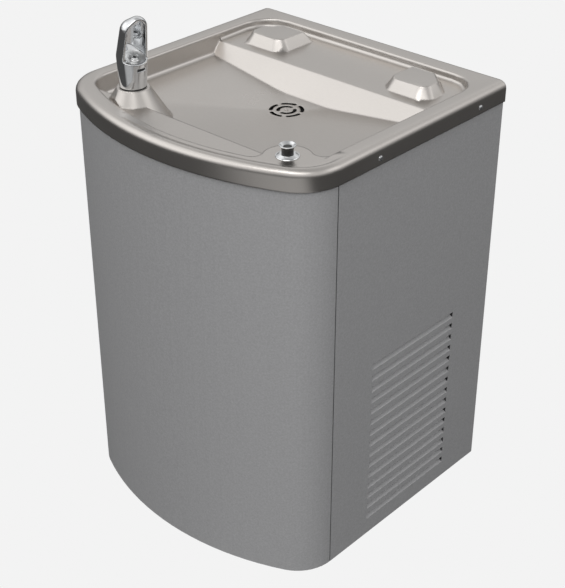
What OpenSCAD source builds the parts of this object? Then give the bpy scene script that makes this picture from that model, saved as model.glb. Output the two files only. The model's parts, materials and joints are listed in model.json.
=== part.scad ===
// Wall-mounted drinking fountain with its own water chiller: a stamped stainless basin top on a
// sheet-steel cabinet, with bubbler, push button, waste trap, cooling tank and refrigeration set.
// Millimetres. +X is to the right of someone who faces it, the front looks to -Y and +Z is up.
// The wall is the plane y = 0 and the origin is the middle of the wall hanger's bolt holes.

/* [Overall] */
// Width of the basin top over its skirt
top_w = 457; // [420:1:520]
// Height from the rim to the underside of the cabinet panels
overall_h = 635.7; // [560:1:760]
// Radius of the bowed front, at the skirt
bow_r = 437; // [400:1:520]
// How far the bow's centre stands in front of the wall
bow_centre_y = 18; // [0:1:40]
// Plan radius of the two front corners, at the skirt
corner_r = 68; // [50:1:90]
// Plan radius of the two back corners
back_corner_r = 3; // [1:0.5:6]
// Height of the rim above the hanger's bolt holes
rim_above_mount = 80; // [70:1:95]

/* [Basin top] */
// Thickness of the stamped stainless sheet
basin_t = 1.2; // [0.8:0.1:2]
// Height of the skirt below the rim
skirt_h = 28.3; // [22:0.1:40]
// Outside radius of the rolled edge
roll_r = 10; // [6:0.5:14]
// Width of the rim at the sides and the front
rim_side_w = 28.5; // [24:0.5:40]
// Width of the rim at the wall
rim_back_w = 24; // [18:0.5:40]
// Plan radius of the bowl's two back corners
bowl_back_r = 45; // [20:1:70]
// Radius from the rim over into the bowl
rim_fillet = 4; // [2:0.5:6]
// Lean of the bowl's walls
wall_draft = 7; // [2:1:12]
// Depth of the bowl where its wall meets its floor
bowl_edge_depth = 30; // [24:1:36]
// Radius at the foot of the bowl's walls
bowl_foot_r = 7; // [3:0.5:9]
// Depth of the bowl at the drain
drain_depth = 45; // [38:1:55]
// Distance of the drain from the wall
drain_y = 198; // [185:1:215]
// Radius of the flat round the drain
drain_flat_r = 30; // [27:1:34]
// Depth of the rear deck below the rim
deck_depth = 12.5; // [9:0.5:16]
// Radius at the foot of the deck's back wall
deck_foot_r = 5; // [2:0.5:6]
// Distance of the deck's front edge from the wall
deck_front_y = 128; // [115:1:140]
// Slope of the deck's front face
deck_slope = 45; // [35:1:60]
// Radius of the deck's front edge
deck_edge_r = 4; // [2:0.5:6]
// Depth of the low band inside the front bead
dip_depth = 3; // [1:0.5:4]
// Distance from the skirt to the inside of the front bead
bead_w = 12; // [11:0.5:14]
// Run of the slope from the bead to the low band
dip_run = 8; // [4:0.5:10]
// How far behind the corners' centres the low band starts
dip_start_back = 28.3; // [18:0.1:40]
// Where the low band starts to fall away, left of the middle
dip_left_x = 90; // [60:1:110]
// Run of the low band's fall from its left end
dip_left_run = 70; // [40:1:100]
// Depth of the ledge along the front of the bowl
ledge_depth = 8; // [5:0.5:12]
// How far ahead of the corners' centres the ledge's back edge is
ledge_ahead = 30.7; // [20:0.1:40]
// Radius of the raised lobe round the push button
lobe_r = 32; // [28:1:38]
// Radius that blends the lobe into its neighbours
lobe_blend_r = 14; // [6:1:20]

/* [Deck pads] */
// Height of the pads above the rim
pad_above_rim = 3; // [1:0.5:6]
// Distance of a pad's top from the side of the skirt
pad_edge = 66.5; // [60:0.5:80]
// Width of a pad's top
pad_w = 59; // [50:1:66]
// Front of a pad's top, from the wall
pad_front_y = 100; // [92:1:106]
// Back of a pad's top, from the wall
pad_back_y = 50; // [46:1:60]
// Spread of a pad's sides from top to foot
pad_flare = 11; // [6:0.5:14]
// Corner cut at a pad's front corners
pad_front_cut = 8; // [4:1:12]
// Corner cut at a pad's outer back corner
pad_outer_cut = 22; // [12:1:26]
// Width of the small bevel round a pad's top
pad_bevel = 1.5; // [0.5:0.5:2.5]

/* [Drain] */
// Outer radius of the outer ring of slots
slot_outer_r = 24.5; // [20:0.5:26]
// Width of a slot
slot_w = 5; // [3:0.5:6]
// Middle radius of the inner ring of slots
inner_slot_r = 11.75; // [9:0.25:14]
// Outside radius of the waste pipe
waste_r = 15.875; // [12:0.125:20]
// Wall of the waste pipe
waste_t = 1.2; // [0.8:0.1:2]
// Depth of the waste outlet's axis below the rim
waste_z = 140; // [135:1:160]
// Bend radius of the trap
trap_bend_r = 28; // [24:1:34]
// How far the trap's bottom hangs below its outlet
trap_drop = 60; // [56:1:80]
// Radius of the drain screw's shank
drain_screw_r = 1.5; // [1:0.25:2.5]

/* [Bubbler] */
// How much nearer the middle the bubbler is than the button
bubbler_in = 42.5; // [30:0.5:60]
// How far ahead of the corners' centres both fittings stand
fittings_ahead = 22.7; // [15:0.1:30]
// Radius of the bubbler's round base
bubbler_r = 18.6; // [15:0.1:22]
// Height of the bubbler's hood above its base
hood_h = 95.4; // [85:0.1:110]
// Height of the middle of the cup's rim
cup_h = 41.8; // [36:0.1:48]
// Outside radius of the cup's rim
cup_r = 17.7; // [15:0.1:20]
// Lean of the cup's rim towards the mouth
cup_tilt = 23.5; // [10:0.5:30]
// Depth of the cup
cup_deep = 9; // [6:0.5:11]
// Distance of the hood's open face from the axis
mouth_x = 8.5; // [5:0.5:11]
// Thickness of the hood
hood_t = 3; // [2:0.5:4]
// Which way the hood's mouth looks, from +X
hood_turn = -18; // [-60:1:20]
// Radius of the flat on top of the pedestal
pedestal_r = 22; // [20:0.5:28]
// Height of the pedestal above the rim
pedestal_h = 11; // [4:0.5:14]
// Slope of the pedestal's flanks
pedestal_slope = 58; // [45:1:65]
// Strip left between the bowl's edge and the pedestal
pedestal_in = 5; // [3:0.5:8]
// Radius of the bubbler's threaded shank
shank_r = 9; // [7:0.5:11]
// Radius of the water outlet
outlet_r = 2.2; // [1.5:0.1:3]

/* [Push button] */
// Radius of the button cap at its top
cap_r = 11; // [9:0.5:13]
// Height of the button cap
cap_h = 6.5; // [4:0.5:9]
// Radius of the black neck below the cap
neck_r = 7.6; // [6:0.1:8.5]
// Travel of the push button
button_travel = 3.5; // [2:0.5:4.5]
// Outside radius of the bezel
bezel_r = 13.7; // [12.5:0.1:16]
// Height of the bezel above the basin
bezel_h = 3.5; // [2.5:0.5:5]
// Running clearance on radius, button in bezel and shafts in bores
run_fit = 0.05; // [0.02:0.01:0.09]
// Radius of the bezel's threaded barrel
barrel_r = 10; // [9.5:0.5:11.5]
// Radius of the valve body
valve_r = 16; // [14:0.5:20]
// Height of the valve body
valve_h = 34; // [28:1:40]
// Radius of the valve plunger
plunger_r = 3; // [2:0.5:3.5]
// Wire radius of the valve spring
spring_wire_r = 0.7; // [0.4:0.1:0.9]
// Number of turns of the valve spring
spring_turns = 6; // [4:1:8]

/* [Cabinet] */
// Set-back of the cabinet panels from the skirt
panel_inset = 3.35; // [2.5:0.05:6]
// Thickness of the cabinet panels
panel_t = 1; // [0.8:0.1:1.5]
// Depth of the panels' top edge below the rim
panel_top_z = 12; // [11:0.5:18]
// How far ahead of the corners' centres the seam between the panels is
seam_ahead = 1.1; // [-10:0.1:6]
// Width of the dark gap at the seam
seam_gap = 1.5; // [0.5:0.1:3]
// Width of the panels' turned-in edges
hem_w = 14; // [8:1:18]
// Thickness of the base pan, the back frame and the brackets
steel_t = 1.5; // [1:0.1:2.5]
// Height of the base pan's upturned lip
pan_lip_h = 25; // [15:1:35]
// How far the back frame's panel stands off the wall
frame_standoff = 6; // [5.5:0.5:10]
// Depth of the frame that carries the basin
top_frame_h = 45; // [38:1:55]
// Radius of the screws' shanks
screw_r = 2; // [1.5:0.25:3]
// Radius of the screws' heads
screw_head_r = 4; // [3:0.5:6]
// Height of the screws' heads
screw_head_h = 2.2; // [1.5:0.1:3]

/* [Louvres] */
// Number of louvres in each side panel
louvre_count = 15; // [8:1:16]
// Distance from one louvre to the next
louvre_pitch = 18.95; // [15:0.05:19.5]
// Height of the top louvre's upper edge above the panels' foot
louvre_rise = 302.7; // [298:0.1:330]
// Rear end of the louvres, from the wall
louvre_rear_y = 84.5; // [60:1:110]
// Length of a louvre
louvre_l = 185; // [140:1:200]
// Height of a louvre's slot
louvre_h = 9.8; // [7:0.1:11]
// How far a louvre's tab leans inward
louvre_in = 5.7; // [4:0.1:8]
// How far a louvre's tab rises
louvre_up = 3.8; // [2:0.1:5]

/* [Wall hanger] */
// Spacing of the hanger's bolt holes, side to side
hanger_hole_dx = 300; // [280:1:310]
// Spacing of the hanger's bolt holes, up and down
hanger_hole_dz = 30; // [20:1:34]
// Distance of the lower wall bolt holes from the side panels
lag_edge = 24.15; // [18:0.05:40]
// Radius of the wall bolt holes
wall_hole_r = 3.5; // [2.5:0.25:5]
// Thickness of the hanger
hanger_t = 2; // [1.5:0.1:3]
// Distance of the hanger's hooks from the middle
hook_x = 110; // [100:1:115]
// Width of a hook
hook_w = 40; // [25:1:50]
// Height of a hook's lip
hook_h = 18; // [12:1:22]

/* [Cooling tank] */
// Radius of the cooling tank
tank_r = 50; // [40:1:55]
// Height of the cooling tank
tank_h = 170; // [140:1:180]
// Gap between the tank's foam and the side panel
tank_edge = 24.15; // [15:0.05:30]
// Distance of the tank from the wall
tank_y = 105; // [98:1:112]
// Depth of the tank's top below the rim
tank_top_z = 150; // [145:1:160]
// Width of the tank's foam block
foam_w = 150; // [140:1:156]
// Radius of the evaporator's tube
evap_tube_r = 4; // [3:0.5:5]
// Turns of the evaporator
evap_turns = 5; // [3:1:7]

/* [Compressor] */
// Radius of the compressor's shell
comp_r = 68; // [55:1:72]
// Height of the compressor's shell
comp_h = 160; // [130:1:180]
// Distance of the compressor from the middle, to the left
comp_x = 80; // [75:1:90]
// Distance of the compressor from the wall
comp_y = 200; // [190:1:210]
// Side spacing of the compressor's feet
foot_dx = 150; // [145:1:160]
// Depth spacing of the compressor's feet
foot_dy = 100; // [80:1:110]

/* [Condenser and fan] */
// Gap between the condenser and the side panel
cond_edge = 19.15; // [14:0.05:24]
// Depth of the condenser from face to face
cond_w = 40; // [30:1:45]
// Distance of the condenser's rear end from the wall
cond_rear_y = 85; // [78:1:95]
// Length of the condenser
cond_l = 180; // [170:1:190]
// Height of the condenser's top above the base pan
cond_rise = 238.2; // [232:0.1:250]
// Number of condenser fins
fin_count = 14; // [6:1:20]
// Thickness of a fin
fin_t = 0.8; // [0.5:0.1:1.2]
// Number of tube passes, an even number
pass_count = 6; // [4:2:6]
// Distance from one tube pass to the next
pass_pitch = 34; // [28:1:34]
// Radius of the condenser's tube
cond_tube_r = 4; // [3:0.5:5]
// Radius of the fan
fan_r = 74; // [60:1:76]
// Radial gap between the fan and its shroud
fan_gap = 6; // [3:0.5:8]
// Number of fan blades
blade_count = 5; // [3:1:7]
// Pitch angle of the fan blades
blade_angle = 28; // [20:1:32]
// Radius of the fan's hub
hub_r = 15; // [12:1:20]
// Radius of the fan's shaft
shaft_r = 3; // [2:0.5:4]
// Radius of the fan motor
motor_r = 38; // [30:1:42]
// Length of the fan motor
motor_l = 50; // [40:1:56]

/* [Water and power] */
// Outside radius of the water supply stub
supply_r = 4.7625; // [3:0.0125:7]
// Distance of the supply stub from the middle, to the right
supply_x = 70; // [60:1:80]
// Depth of the supply stub's axis below the rim
supply_z = 165; // [160:1:175]
// Radius of the strainer's body
strainer_r = 11; // [9:0.5:14]
// Length of the strainer's body
strainer_l = 55; // [45:1:60]
// Outside radius of the water tubes
tube_r = 3.2; // [2:0.1:4]
// Bore radius of the water tubes
tube_bore_r = 2.1; // [1:0.1:2.4]
// Radius of the thermostat's stem
stem_r = 3; // [2:0.5:4]
// Bore radius of the cord bush
cord_bore_r = 4.5; // [3:0.25:6]
// Radius of the internal leads
lead_r = 2; // [1.5:0.25:3]
// Distance of the front skirt screws from the wall
skirt_screw_front_y = 275.4; // [250:1:300]
// Distance of the rear skirt screws from the wall
skirt_screw_rear_y = 61.1; // [40:1:90]
// Depth of the skirt screws below the rim
skirt_screw_z = 19; // [17:0.5:21]

/* [Hidden] */
$fn = 48;
// Steps of the outlines' arcs
back_steps = 4;
corner_steps = 9;
bow_steps = 20;
roll_steps = 5;
fillet_steps = 3;
// Overrun of the cuts, and a thin slice that a blend starts from
overrun = 1;
slice_t = 0.01;
// Clearances: round a screw, and between neighbours
hole_clear = 0.4;
lay_clear = 0.3;

half_w = top_w / 2;
button_x = half_w - corner_r;
bubbler_x = button_x - bubbler_in;
// The front corners' centres, and what keeps its place beside them
corner_y = bow_centre_y + sqrt(pow(bow_r - corner_r, 2) - pow(button_x, 2));
fittings_y = corner_y + fittings_ahead;
ledge_back_y = corner_y + ledge_ahead;
dip_start_y = corner_y - dip_start_back;
seam_y = corner_y + seam_ahead;
pad_outer_x = half_w - pad_edge;
pad_inner_x = pad_outer_x - pad_w;
basin_base = drain_depth + roll_r;
cabinet_half_w = half_w - panel_inset;
inner_half_w = cabinet_half_w - panel_t;
frame_front_y = frame_standoff + steel_t;
pan_z = overall_h - panel_t;
pan_top_z = pan_z - steel_t;
louvre_top_z = overall_h - louvre_rise;
cond_top_z = pan_top_z - cond_rise;
tank_x = inner_half_w - tank_edge - foam_w / 2;
cond_x = inner_half_w - cond_edge - cond_w;
skirt_screw_ys = [skirt_screw_front_y, skirt_screw_rear_y];

// Plan outlines

function arc(c, r, a0, a1, n, skip = 0) =
  [for (i = [skip:n - skip]) let (a = a0 + (a1 - a0) * i / n) c + r * [cos(a), sin(a)]];

// A square back, two round corners and a bowed front, all tangent
function bow_outline(hw, back, r_back, r_front, r_bow) =
  let (cx = hw - r_front,
     cy = -bow_centre_y - sqrt(pow(r_bow - r_front, 2) - pow(cx, 2)),
     turn = atan2(-cy - bow_centre_y, cx))
  concat(
    arc([r_back - hw, -back - r_back], r_back, 90, 180, back_steps),
    arc([-cx, cy], r_front, 180, 180 + turn, corner_steps),
    arc([0, -bow_centre_y], r_bow, 180 + turn, 360 - turn, bow_steps, 1),
    arc([cx, cy], r_front, 360 - turn, 360, corner_steps),
    arc([hw - r_back, -back - r_back], r_back, 0, 90, back_steps));

// The skirt's outline moved in by d, its back edge off the wall by back
function skirt_outline(d, back) =
  bow_outline(half_w - d, back, back_corner_r, corner_r - d, bow_r - d);

// The bowl's edge, grown by g
function bowl_outline(g) =
  bow_outline(half_w - rim_side_w + g, rim_back_w - g, bowl_back_r + g,
    corner_r - rim_side_w + g, bow_r - rim_side_w + g);

function lift(outline, z) = [for (p = outline) [p[0], p[1], z]];

function round_drain(outline, r, z) =
  [for (p = outline)
    let (v = p + [0, drain_y], q = r * v / norm(v)) [q[0], q[1] - drain_y, z]];

// A closed skin through rings of equal counts, lowest first
module loft(rings) {
  n = len(rings[0]);
  top = (len(rings) - 1) * n;
  polyhedron(
    points = [for (ring = rings) each ring],
    faces = concat(
      [[for (i = [0:n - 1]) i]],
      [for (k = [0:len(rings) - 2], i = [0:n - 1]) let (j = (i + 1) % n)
        each [[k * n + i, (k + 1) * n + i, (k + 1) * n + j],
           [k * n + i, (k + 1) * n + j, k * n + j]]],
      [[for (i = [n - 1:-1:0]) top + i]]));
}

// A tube along a list of corners: straight legs, and a true torus at each bend

function unit(v) = v / norm(v);
function turn_at(p, i) = acos(unit(p[i] - p[i - 1]) * unit(p[i + 1] - p[i]));
function trim_at(p, i, bend) =
  i == 0 || i == len(p) - 1 ? 0 : bend * tan(turn_at(p, i) / 2);

module ring_section(r, bore) {
  difference() {
    circle(r);
    if (bore > 0) circle(bore);
  }
}

module tube_run(p, r, bend, bore = 0) {
  for (i = [0:len(p) - 2]) {
    d = unit(p[i + 1] - p[i]);
    length = norm(p[i + 1] - p[i]) - trim_at(p, i, bend) - trim_at(p, i + 1, bend);
    translate(p[i] + d * trim_at(p, i, bend))
      rotate([0, acos(d[2]), atan2(d[1], d[0])])
        linear_extrude(length) ring_section(r, bore);
  }
  for (i = [1:1:len(p) - 2]) {
    d = unit(p[i] - p[i - 1]);
    e = unit(p[i + 1] - p[i]);
    side = unit(e - (e * d) * d);
    axis = cross(-side, d);
    c = p[i] - d * trim_at(p, i, bend) + side * bend;
    multmatrix([
      [-side[0], d[0], axis[0], c[0]],
      [-side[1], d[1], axis[1], c[1]],
      [-side[2], d[2], axis[2], c[2]],
      [0, 0, 0, 1]])
      rotate_extrude(angle = turn_at(p, i)) translate([bend, 0]) ring_section(r, bore);
  }
}

// Heights in the modules below are measured from the rim
module from_rim() translate([0, 0, rim_above_mount]) children();

module both_sides() {
  children();
  mirror([1, 0, 0]) children();
}

module pan_head(r, head_r, head_h, length) {
  rotate_extrude()
    polygon(concat(
      [[0, -length], [r, -length], [r, 0], [head_r, 0]],
      [for (i = [1:fillet_steps]) let (a = 90 * i / (fillet_steps + 1))
        [head_r * cos(a), head_h * sin(a)]],
      [[0, head_h]]));
}

// Basin top: one stamped sheet, drawn as the solid under its face less the same solid one
// sheet lower. Each shape below takes that depth o, so bosses shrink by it and hollows grow.

function flange_rings(o) = concat(
  [lift(skirt_outline(o, o), -basin_base - o)],
  [for (i = [0:roll_steps]) let (a = 90 * i / roll_steps)
    lift(skirt_outline(roll_r - (roll_r - o) * cos(a), o), -roll_r + (roll_r - o) * sin(a))]);

function bowl_rings(o, depth, foot_r, dished) =
  let (lean = (depth - rim_fillet - foot_r) * tan(wall_draft))
  concat(
    dished ? [round_drain(bowl_outline(-lean - foot_r), drain_flat_r, -drain_depth - o)] : [],
    [for (i = [fillet_steps:-1:0]) let (a = 90 * i / fillet_steps)
      lift(bowl_outline(-lean - foot_r + (foot_r + o) * cos(a)),
        foot_r - depth - (foot_r + o) * sin(a))],
    [for (i = [fillet_steps:-1:0]) let (a = 90 * i / fillet_steps)
      lift(bowl_outline(rim_fillet - (rim_fillet - o) * sin(a)),
        -rim_fillet + (rim_fillet - o) * cos(a))],
    [lift(bowl_outline(rim_fillet), overrun)]);

module deck_block(o) {
  low = basin_base + overrun;
  c = [deck_edge_r * tan(deck_slope / 2) - deck_front_y, slice_t - deck_depth - deck_edge_r];
  edge = arc(c, deck_edge_r - o, 90 + deck_slope, 90, fillet_steps);
  translate([roll_r - half_w, 0, 0])
    rotate([90, 0, 90])
      linear_extrude(top_w - 2 * roll_r)
        polygon(concat(
          [[-roll_r, overrun],
           [-roll_r, -low],
           [edge[0][0] - (low + edge[0][1]) / tan(deck_slope), -low]],
          edge,
          [[c[0], overrun]]));
}

module pad_slice(grow, z) {
  translate([0, 0, z])
    linear_extrude(slice_t)
      offset(delta = grow)
        polygon([
          [pad_inner_x + pad_front_cut, -pad_front_y],
          [pad_outer_x - pad_front_cut, -pad_front_y],
          [pad_outer_x, -pad_front_y + pad_front_cut],
          [pad_outer_x, -pad_back_y - pad_outer_cut],
          [pad_outer_x - pad_outer_cut, -pad_back_y],
          [pad_inner_x, -pad_back_y],
          [pad_inner_x, -pad_front_y + pad_front_cut]]);
}

module deck_pads(o) {
  top = pad_above_rim - o - slice_t;
  both_sides() {
    hull() {
      pad_slice(pad_flare - o, -deck_depth - o - slice_t);
      pad_slice(pad_bevel - o, top - pad_bevel / 2);
    }
    hull() {
      pad_slice(pad_bevel - o, top - pad_bevel / 2);
      pad_slice(-o, top);
    }
  }
}

module pedestal(o) {
  low = basin_base + o;
  r = pedestal_r - o * tan(pedestal_slope / 2);
  intersection() {
    translate([-bubbler_x, -fittings_y, -low])
      cylinder(h = low + pedestal_h - o, r1 = r + (low + pedestal_h - o) / tan(pedestal_slope),
        r2 = r);
    translate([0, 0, -low])
      linear_extrude(low + pedestal_h + overrun)
        polygon(bowl_outline(-pedestal_in - o));
  }
}

module front_ledge(o) {
  low = basin_base + o;
  translate([0, 0, -low])
    linear_extrude(low - ledge_depth - o)
      intersection() {
        polygon(skirt_outline(bead_w + dip_run, bead_w));
        translate([-half_w, -bow_r - bow_centre_y - ledge_back_y - o])
          square([top_w, bow_r + bow_centre_y]);
      }
}

module button_lobe(o) {
  low = basin_base + o;
  translate([0, 0, -low])
    linear_extrude(low - dip_depth - o)
      offset(delta = -o)
        offset(r = -lobe_blend_r)
          offset(r = lobe_blend_r) {
            translate([button_x, -fittings_y]) circle(lobe_r);
            intersection() {
              translate([button_x - 2 * lobe_r, -fittings_y - 2 * lobe_r])
                square([half_w - button_x - roll_r + 2 * lobe_r, 4 * lobe_r]);
              difference() {
                polygon(skirt_outline(bead_w + dip_run, bead_w));
                polygon(bowl_outline(0));
              }
            }
            intersection() {
              translate([button_x, -fittings_y - lobe_r])
                square([lobe_r + lobe_blend_r, 2 * lobe_r - lobe_blend_r / 2]);
              polygon(skirt_outline(bead_w + dip_run, bead_w));
            }
          }
}

module front_dip(o) {
  hull() {
    front_slice(bead_w, dip_start_y, dip_left_x, overrun);
    front_slice(bead_w, dip_start_y, dip_left_x, -o);
    front_slice(bead_w + dip_run, corner_y - lay_clear, dip_left_x - dip_left_run, -dip_depth - o);
  }
}

module front_slice(d, from_y, left_x, z) {
  translate([0, 0, z])
    linear_extrude(slice_t)
      intersection() {
        polygon(skirt_outline(d, d));
        translate([-left_x, -from_y - bow_r]) square([half_w + left_x, bow_r]);
      }
}

module basin_solid(o) {
  difference() {
    loft(flange_rings(o));
    loft(bowl_rings(o, deck_depth, deck_foot_r, false));
    difference() {
      loft(bowl_rings(o, bowl_edge_depth, bowl_foot_r, true));
      deck_block(o);
      front_ledge(o);
      button_lobe(o);
    }
    front_dip(o);
  }
  deck_pads(o);
  pedestal(o);
  front_ledge(o);
  button_lobe(o);
}

// Everything below the skirt's edge and outside the bowl
module skirt_trim() {
  translate([0, 0, -basin_base - 2 * overrun])
    linear_extrude(basin_base + 2 * overrun - skirt_h)
      difference() {
        polygon(skirt_outline(-overrun, -overrun));
        polygon(bowl_outline(basin_t));
      }
}

// Arc slots round a middle radius, their ends round
module arc_slots(r, w, count, gap, start) {
  sweep = 360 / count - gap;
  for (i = [0:count - 1])
    rotate(start + i * 360 / count) {
      rotate_slot(r, w, sweep);
      for (a = [0, sweep])
        rotate(a) translate([r, 0]) circle(w / 2);
    }
}

module rotate_slot(r, w, sweep) {
  polygon(concat(
    arc([0, 0], r + w / 2, 0, sweep, corner_steps),
    arc([0, 0], r - w / 2, sweep, 0, corner_steps)));
}

outer_slot_count = 5;
inner_slot_count = 2;
outer_slot_gap = 26;
inner_slot_gap = 52;
slot_start = 100;

module basin_holes() {
  depth = 2 * basin_base;
  translate([0, -drain_y, -depth]) {
    linear_extrude(depth) {
      arc_slots(slot_outer_r - slot_w / 2, slot_w, outer_slot_count, outer_slot_gap, slot_start);
      arc_slots(inner_slot_r, slot_w, inner_slot_count, inner_slot_gap, slot_start);
    }
    cylinder(h = depth, r = drain_screw_r + hole_clear);
  }
  translate([-bubbler_x, -fittings_y, -depth])
    cylinder(h = 2 * depth, r = shank_r + hole_clear);
  translate([button_x, -fittings_y, -depth])
    cylinder(h = 2 * depth, r = barrel_r + hole_clear);
  for (y = skirt_screw_ys)
    both_sides()
      translate([half_w - roll_r / 2, -y, -skirt_screw_z])
        rotate([0, 90, 0]) cylinder(h = roll_r, r = screw_r + hole_clear);
}

module basin_top() {
  color("#b3aea6")
    from_rim()
      difference() {
        basin_solid(0);
        basin_solid(basin_t);
        skirt_trim();
        basin_holes();
      }
}

module skirt_screws() {
  color("#d8d8d8")
    from_rim()
      for (y = skirt_screw_ys)
        both_sides()
          translate([half_w, -y, -skirt_screw_z])
            rotate([0, 90, 0])
              pan_head(screw_r, screw_head_r, screw_head_h,
                bead_w + steel_t + screw_r);
}

// Bubbler: a cast head, its hood open on one side. Drawn with z = 0 at the head's base.

gasket_t = 1;
bubbler_nut_h = 6;
bubbler_nut_r = 15;
shank_l = 53;
nozzle_r = 6;
nozzle_h = 14;
nozzle_low = 15.5;
cup_shift = [1.5, 3.7];
back_shift = [-2, -0.7];
crown_shift = [-1, 2.9];
brow_shift = [2, 9.9];
foot_h_share = 0.12;
back_h_share = 0.44;
crown_h_share = 0.795;
back_r_share = 1.02;
crown_r_share = 0.855;
brow_r_share = 0.71;
slot_turn = 21;
slot_l = 12;
slot_h = 3;
slot_z = 25.5;
hood_fn = 28;

module at_bubbler() from_rim() translate([-bubbler_x, -fittings_y, pedestal_h]) children();

// On the cup's leaning rim, in the frame of the hood's mouth
module at_cup() translate([each cup_shift, cup_h]) rotate([0, cup_tilt, 0]) children();

module hood_ball(shift, z, r) translate([each shift, z]) sphere(r, $fn = hood_fn);

// The hood's outside, or its inside when moved in by d
module hood_form(d) {
  hull() {
    translate([0, 0, gasket_t])
      cylinder(h = hood_h * foot_h_share - gasket_t, r = bubbler_r - d);
    hood_ball(back_shift, hood_h * back_h_share, bubbler_r * back_r_share - d);
    hood_ball(crown_shift, hood_h * crown_h_share, bubbler_r * crown_r_share - d);
    hood_ball(brow_shift, hood_h - bubbler_r * brow_r_share, bubbler_r * brow_r_share - d);
    at_cup() translate([0, 0, -hood_t]) cylinder(h = hood_t, r = cup_r - d);
  }
}

// What the mouth leaves open: all in front of the hood's face and above the cup's rim
module mouth_cut() {
  big = 4 * bubbler_r;
  intersection() {
    translate([mouth_x, -big / 2, 0]) cube([big, big, hood_h]);
    at_cup() translate([-big / 2, -big / 2, 0]) cube([big, big, hood_h]);
  }
}

// The room inside the cup and the hood
module hood_room() {
  intersection() {
    hood_form(hood_t);
    hull() {
      at_cup() translate([0, 0, cup_r - cup_deep]) sphere(cup_r, $fn = hood_fn);
      translate([0, 0, hood_h]) cylinder(h = overrun, r = 2 * bubbler_r);
    }
  }
}

module bubbler_body() {
  color("#dfe1e3")
    at_bubbler()
      difference() {
        union() {
          translate([0, 0, gasket_t - shank_l]) cylinder(h = shank_l + hood_t, r = shank_r);
          rotate(hood_turn)
            difference() {
              hood_form(0);
              mouth_cut();
              hood_room();
              at_cup()
                translate([0, 0, -nozzle_low - gasket_t])
                  cylinder(h = nozzle_low, r = nozzle_r);
              rotate(slot_turn)
                translate([bubbler_r - hood_t, -slot_l / 2, slot_z])
                  cube([bubbler_r, slot_l, slot_h]);
            }
        }
        translate([0, 0, -shank_l])
          cylinder(h = shank_l + cup_h - nozzle_low, r = tube_r + lay_clear);
      }
}

module bubbler_nozzle() {
  color("#c9cbcd")
    at_bubbler()
      rotate(hood_turn)
        at_cup()
          translate([0, 0, -nozzle_low])
            rotate_extrude()
              polygon([
                [outlet_r, 0],
                [nozzle_r, 0],
                [nozzle_r, nozzle_h - hood_t],
                [nozzle_r - hood_t / 2, nozzle_h - gasket_t / 2],
                [nozzle_r - hood_t, nozzle_h],
                [outlet_r, nozzle_h]]);
}

module bubbler_gasket() {
  color("#2c2c2c")
    at_bubbler()
      difference() {
        cylinder(h = gasket_t, r = bubbler_r - gasket_t / 2);
        translate([0, 0, -overrun]) cylinder(h = gasket_t + 2 * overrun, r = shank_r);
      }
}

module bubbler_locknut() {
  color("#b9a15a")
    at_bubbler()
      translate([0, 0, -basin_t - bubbler_nut_h])
        difference() {
          cylinder(h = bubbler_nut_h, r = bubbler_nut_r, $fn = 6);
          translate([0, 0, -overrun])
            cylinder(h = bubbler_nut_h + 2 * overrun, r = shank_r);
        }
}

// Push button: cap, neck and plunger travel together. Drawn with z = 0 on the basin.

bezel_gap = 2;
cap_z = bezel_h + button_travel + bezel_gap;
cap_foot_r = neck_r + bezel_gap / 2;
cap_dish = 0.8;
spigot_r = 4;
spigot_h = 4;
neck_l = 11;
barrel_l = 35;
button_nut_h = 6;
button_nut_r = 16;
plunger_l = 14;
plunger_reach = 2;
port_l = 8;
port_r = 5;
port_z = 57;
spring_steps = 10;
spring_sides = 6;
spring_seat = 0.1;

module at_button() from_rim() translate([button_x, -fittings_y, -dip_depth]) children();

module button_cap() {
  color("#e3e5e7")
    at_button()
      translate([0, 0, cap_z])
        rotate_extrude()
          polygon([
            [spigot_r, 0],
            [cap_foot_r, 0],
            [cap_r - cap_dish, cap_h / 2],
            [cap_r, cap_h - cap_dish],
            [cap_r - cap_dish, cap_h],
            [neck_r, cap_h],
            [spigot_r, cap_h - cap_dish],
            [0, cap_h - cap_dish],
            [0, spigot_h],
            [spigot_r, spigot_h]]);
}

module button_neck() {
  color("#1b1b1b")
    at_button() {
      translate([0, 0, -neck_l]) cylinder(h = cap_z + neck_l, r = neck_r);
      translate([0, 0, cap_z]) cylinder(h = spigot_h, r = spigot_r);
    }
}

module button_bezel() {
  color("#d5d7d9")
    at_button()
      rotate_extrude()
        polygon([
          [neck_r + run_fit, -barrel_l],
          [barrel_r, -barrel_l],
          [barrel_r, 0],
          [bezel_r, 0],
          [bezel_r, bezel_h / 3],
          [barrel_r, bezel_h],
          [neck_r + run_fit, bezel_h]]);
}

module button_locknut() {
  color("#b9a15a")
    at_button()
      translate([0, 0, -basin_t - button_nut_h])
        difference() {
          cylinder(h = button_nut_h, r = button_nut_r, $fn = 6);
          translate([0, 0, -overrun])
            cylinder(h = button_nut_h + 2 * overrun, r = barrel_r);
        }
}

module valve_body() {
  bore_l = plunger_l + button_travel + plunger_reach;
  color("#c8a957")
    at_button()
      difference() {
        union() {
          translate([0, 0, -barrel_l - valve_h]) cylinder(h = valve_h, r = valve_r);
          translate([0, 0, -port_z]) {
            rotate([0, -90, 0]) cylinder(h = valve_r + port_l, r = port_r);
            rotate([-90, 0, 0]) cylinder(h = valve_r + port_l, r = port_r);
          }
        }
        translate([0, 0, -barrel_l - bore_l])
          cylinder(h = bore_l + overrun, r = plunger_r + run_fit);
      }
}

module valve_plunger() {
  color("#8f9296")
    at_button()
      translate([0, 0, -barrel_l - plunger_l])
        cylinder(h = barrel_l + plunger_l - neck_l, r = plunger_r);
}

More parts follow.
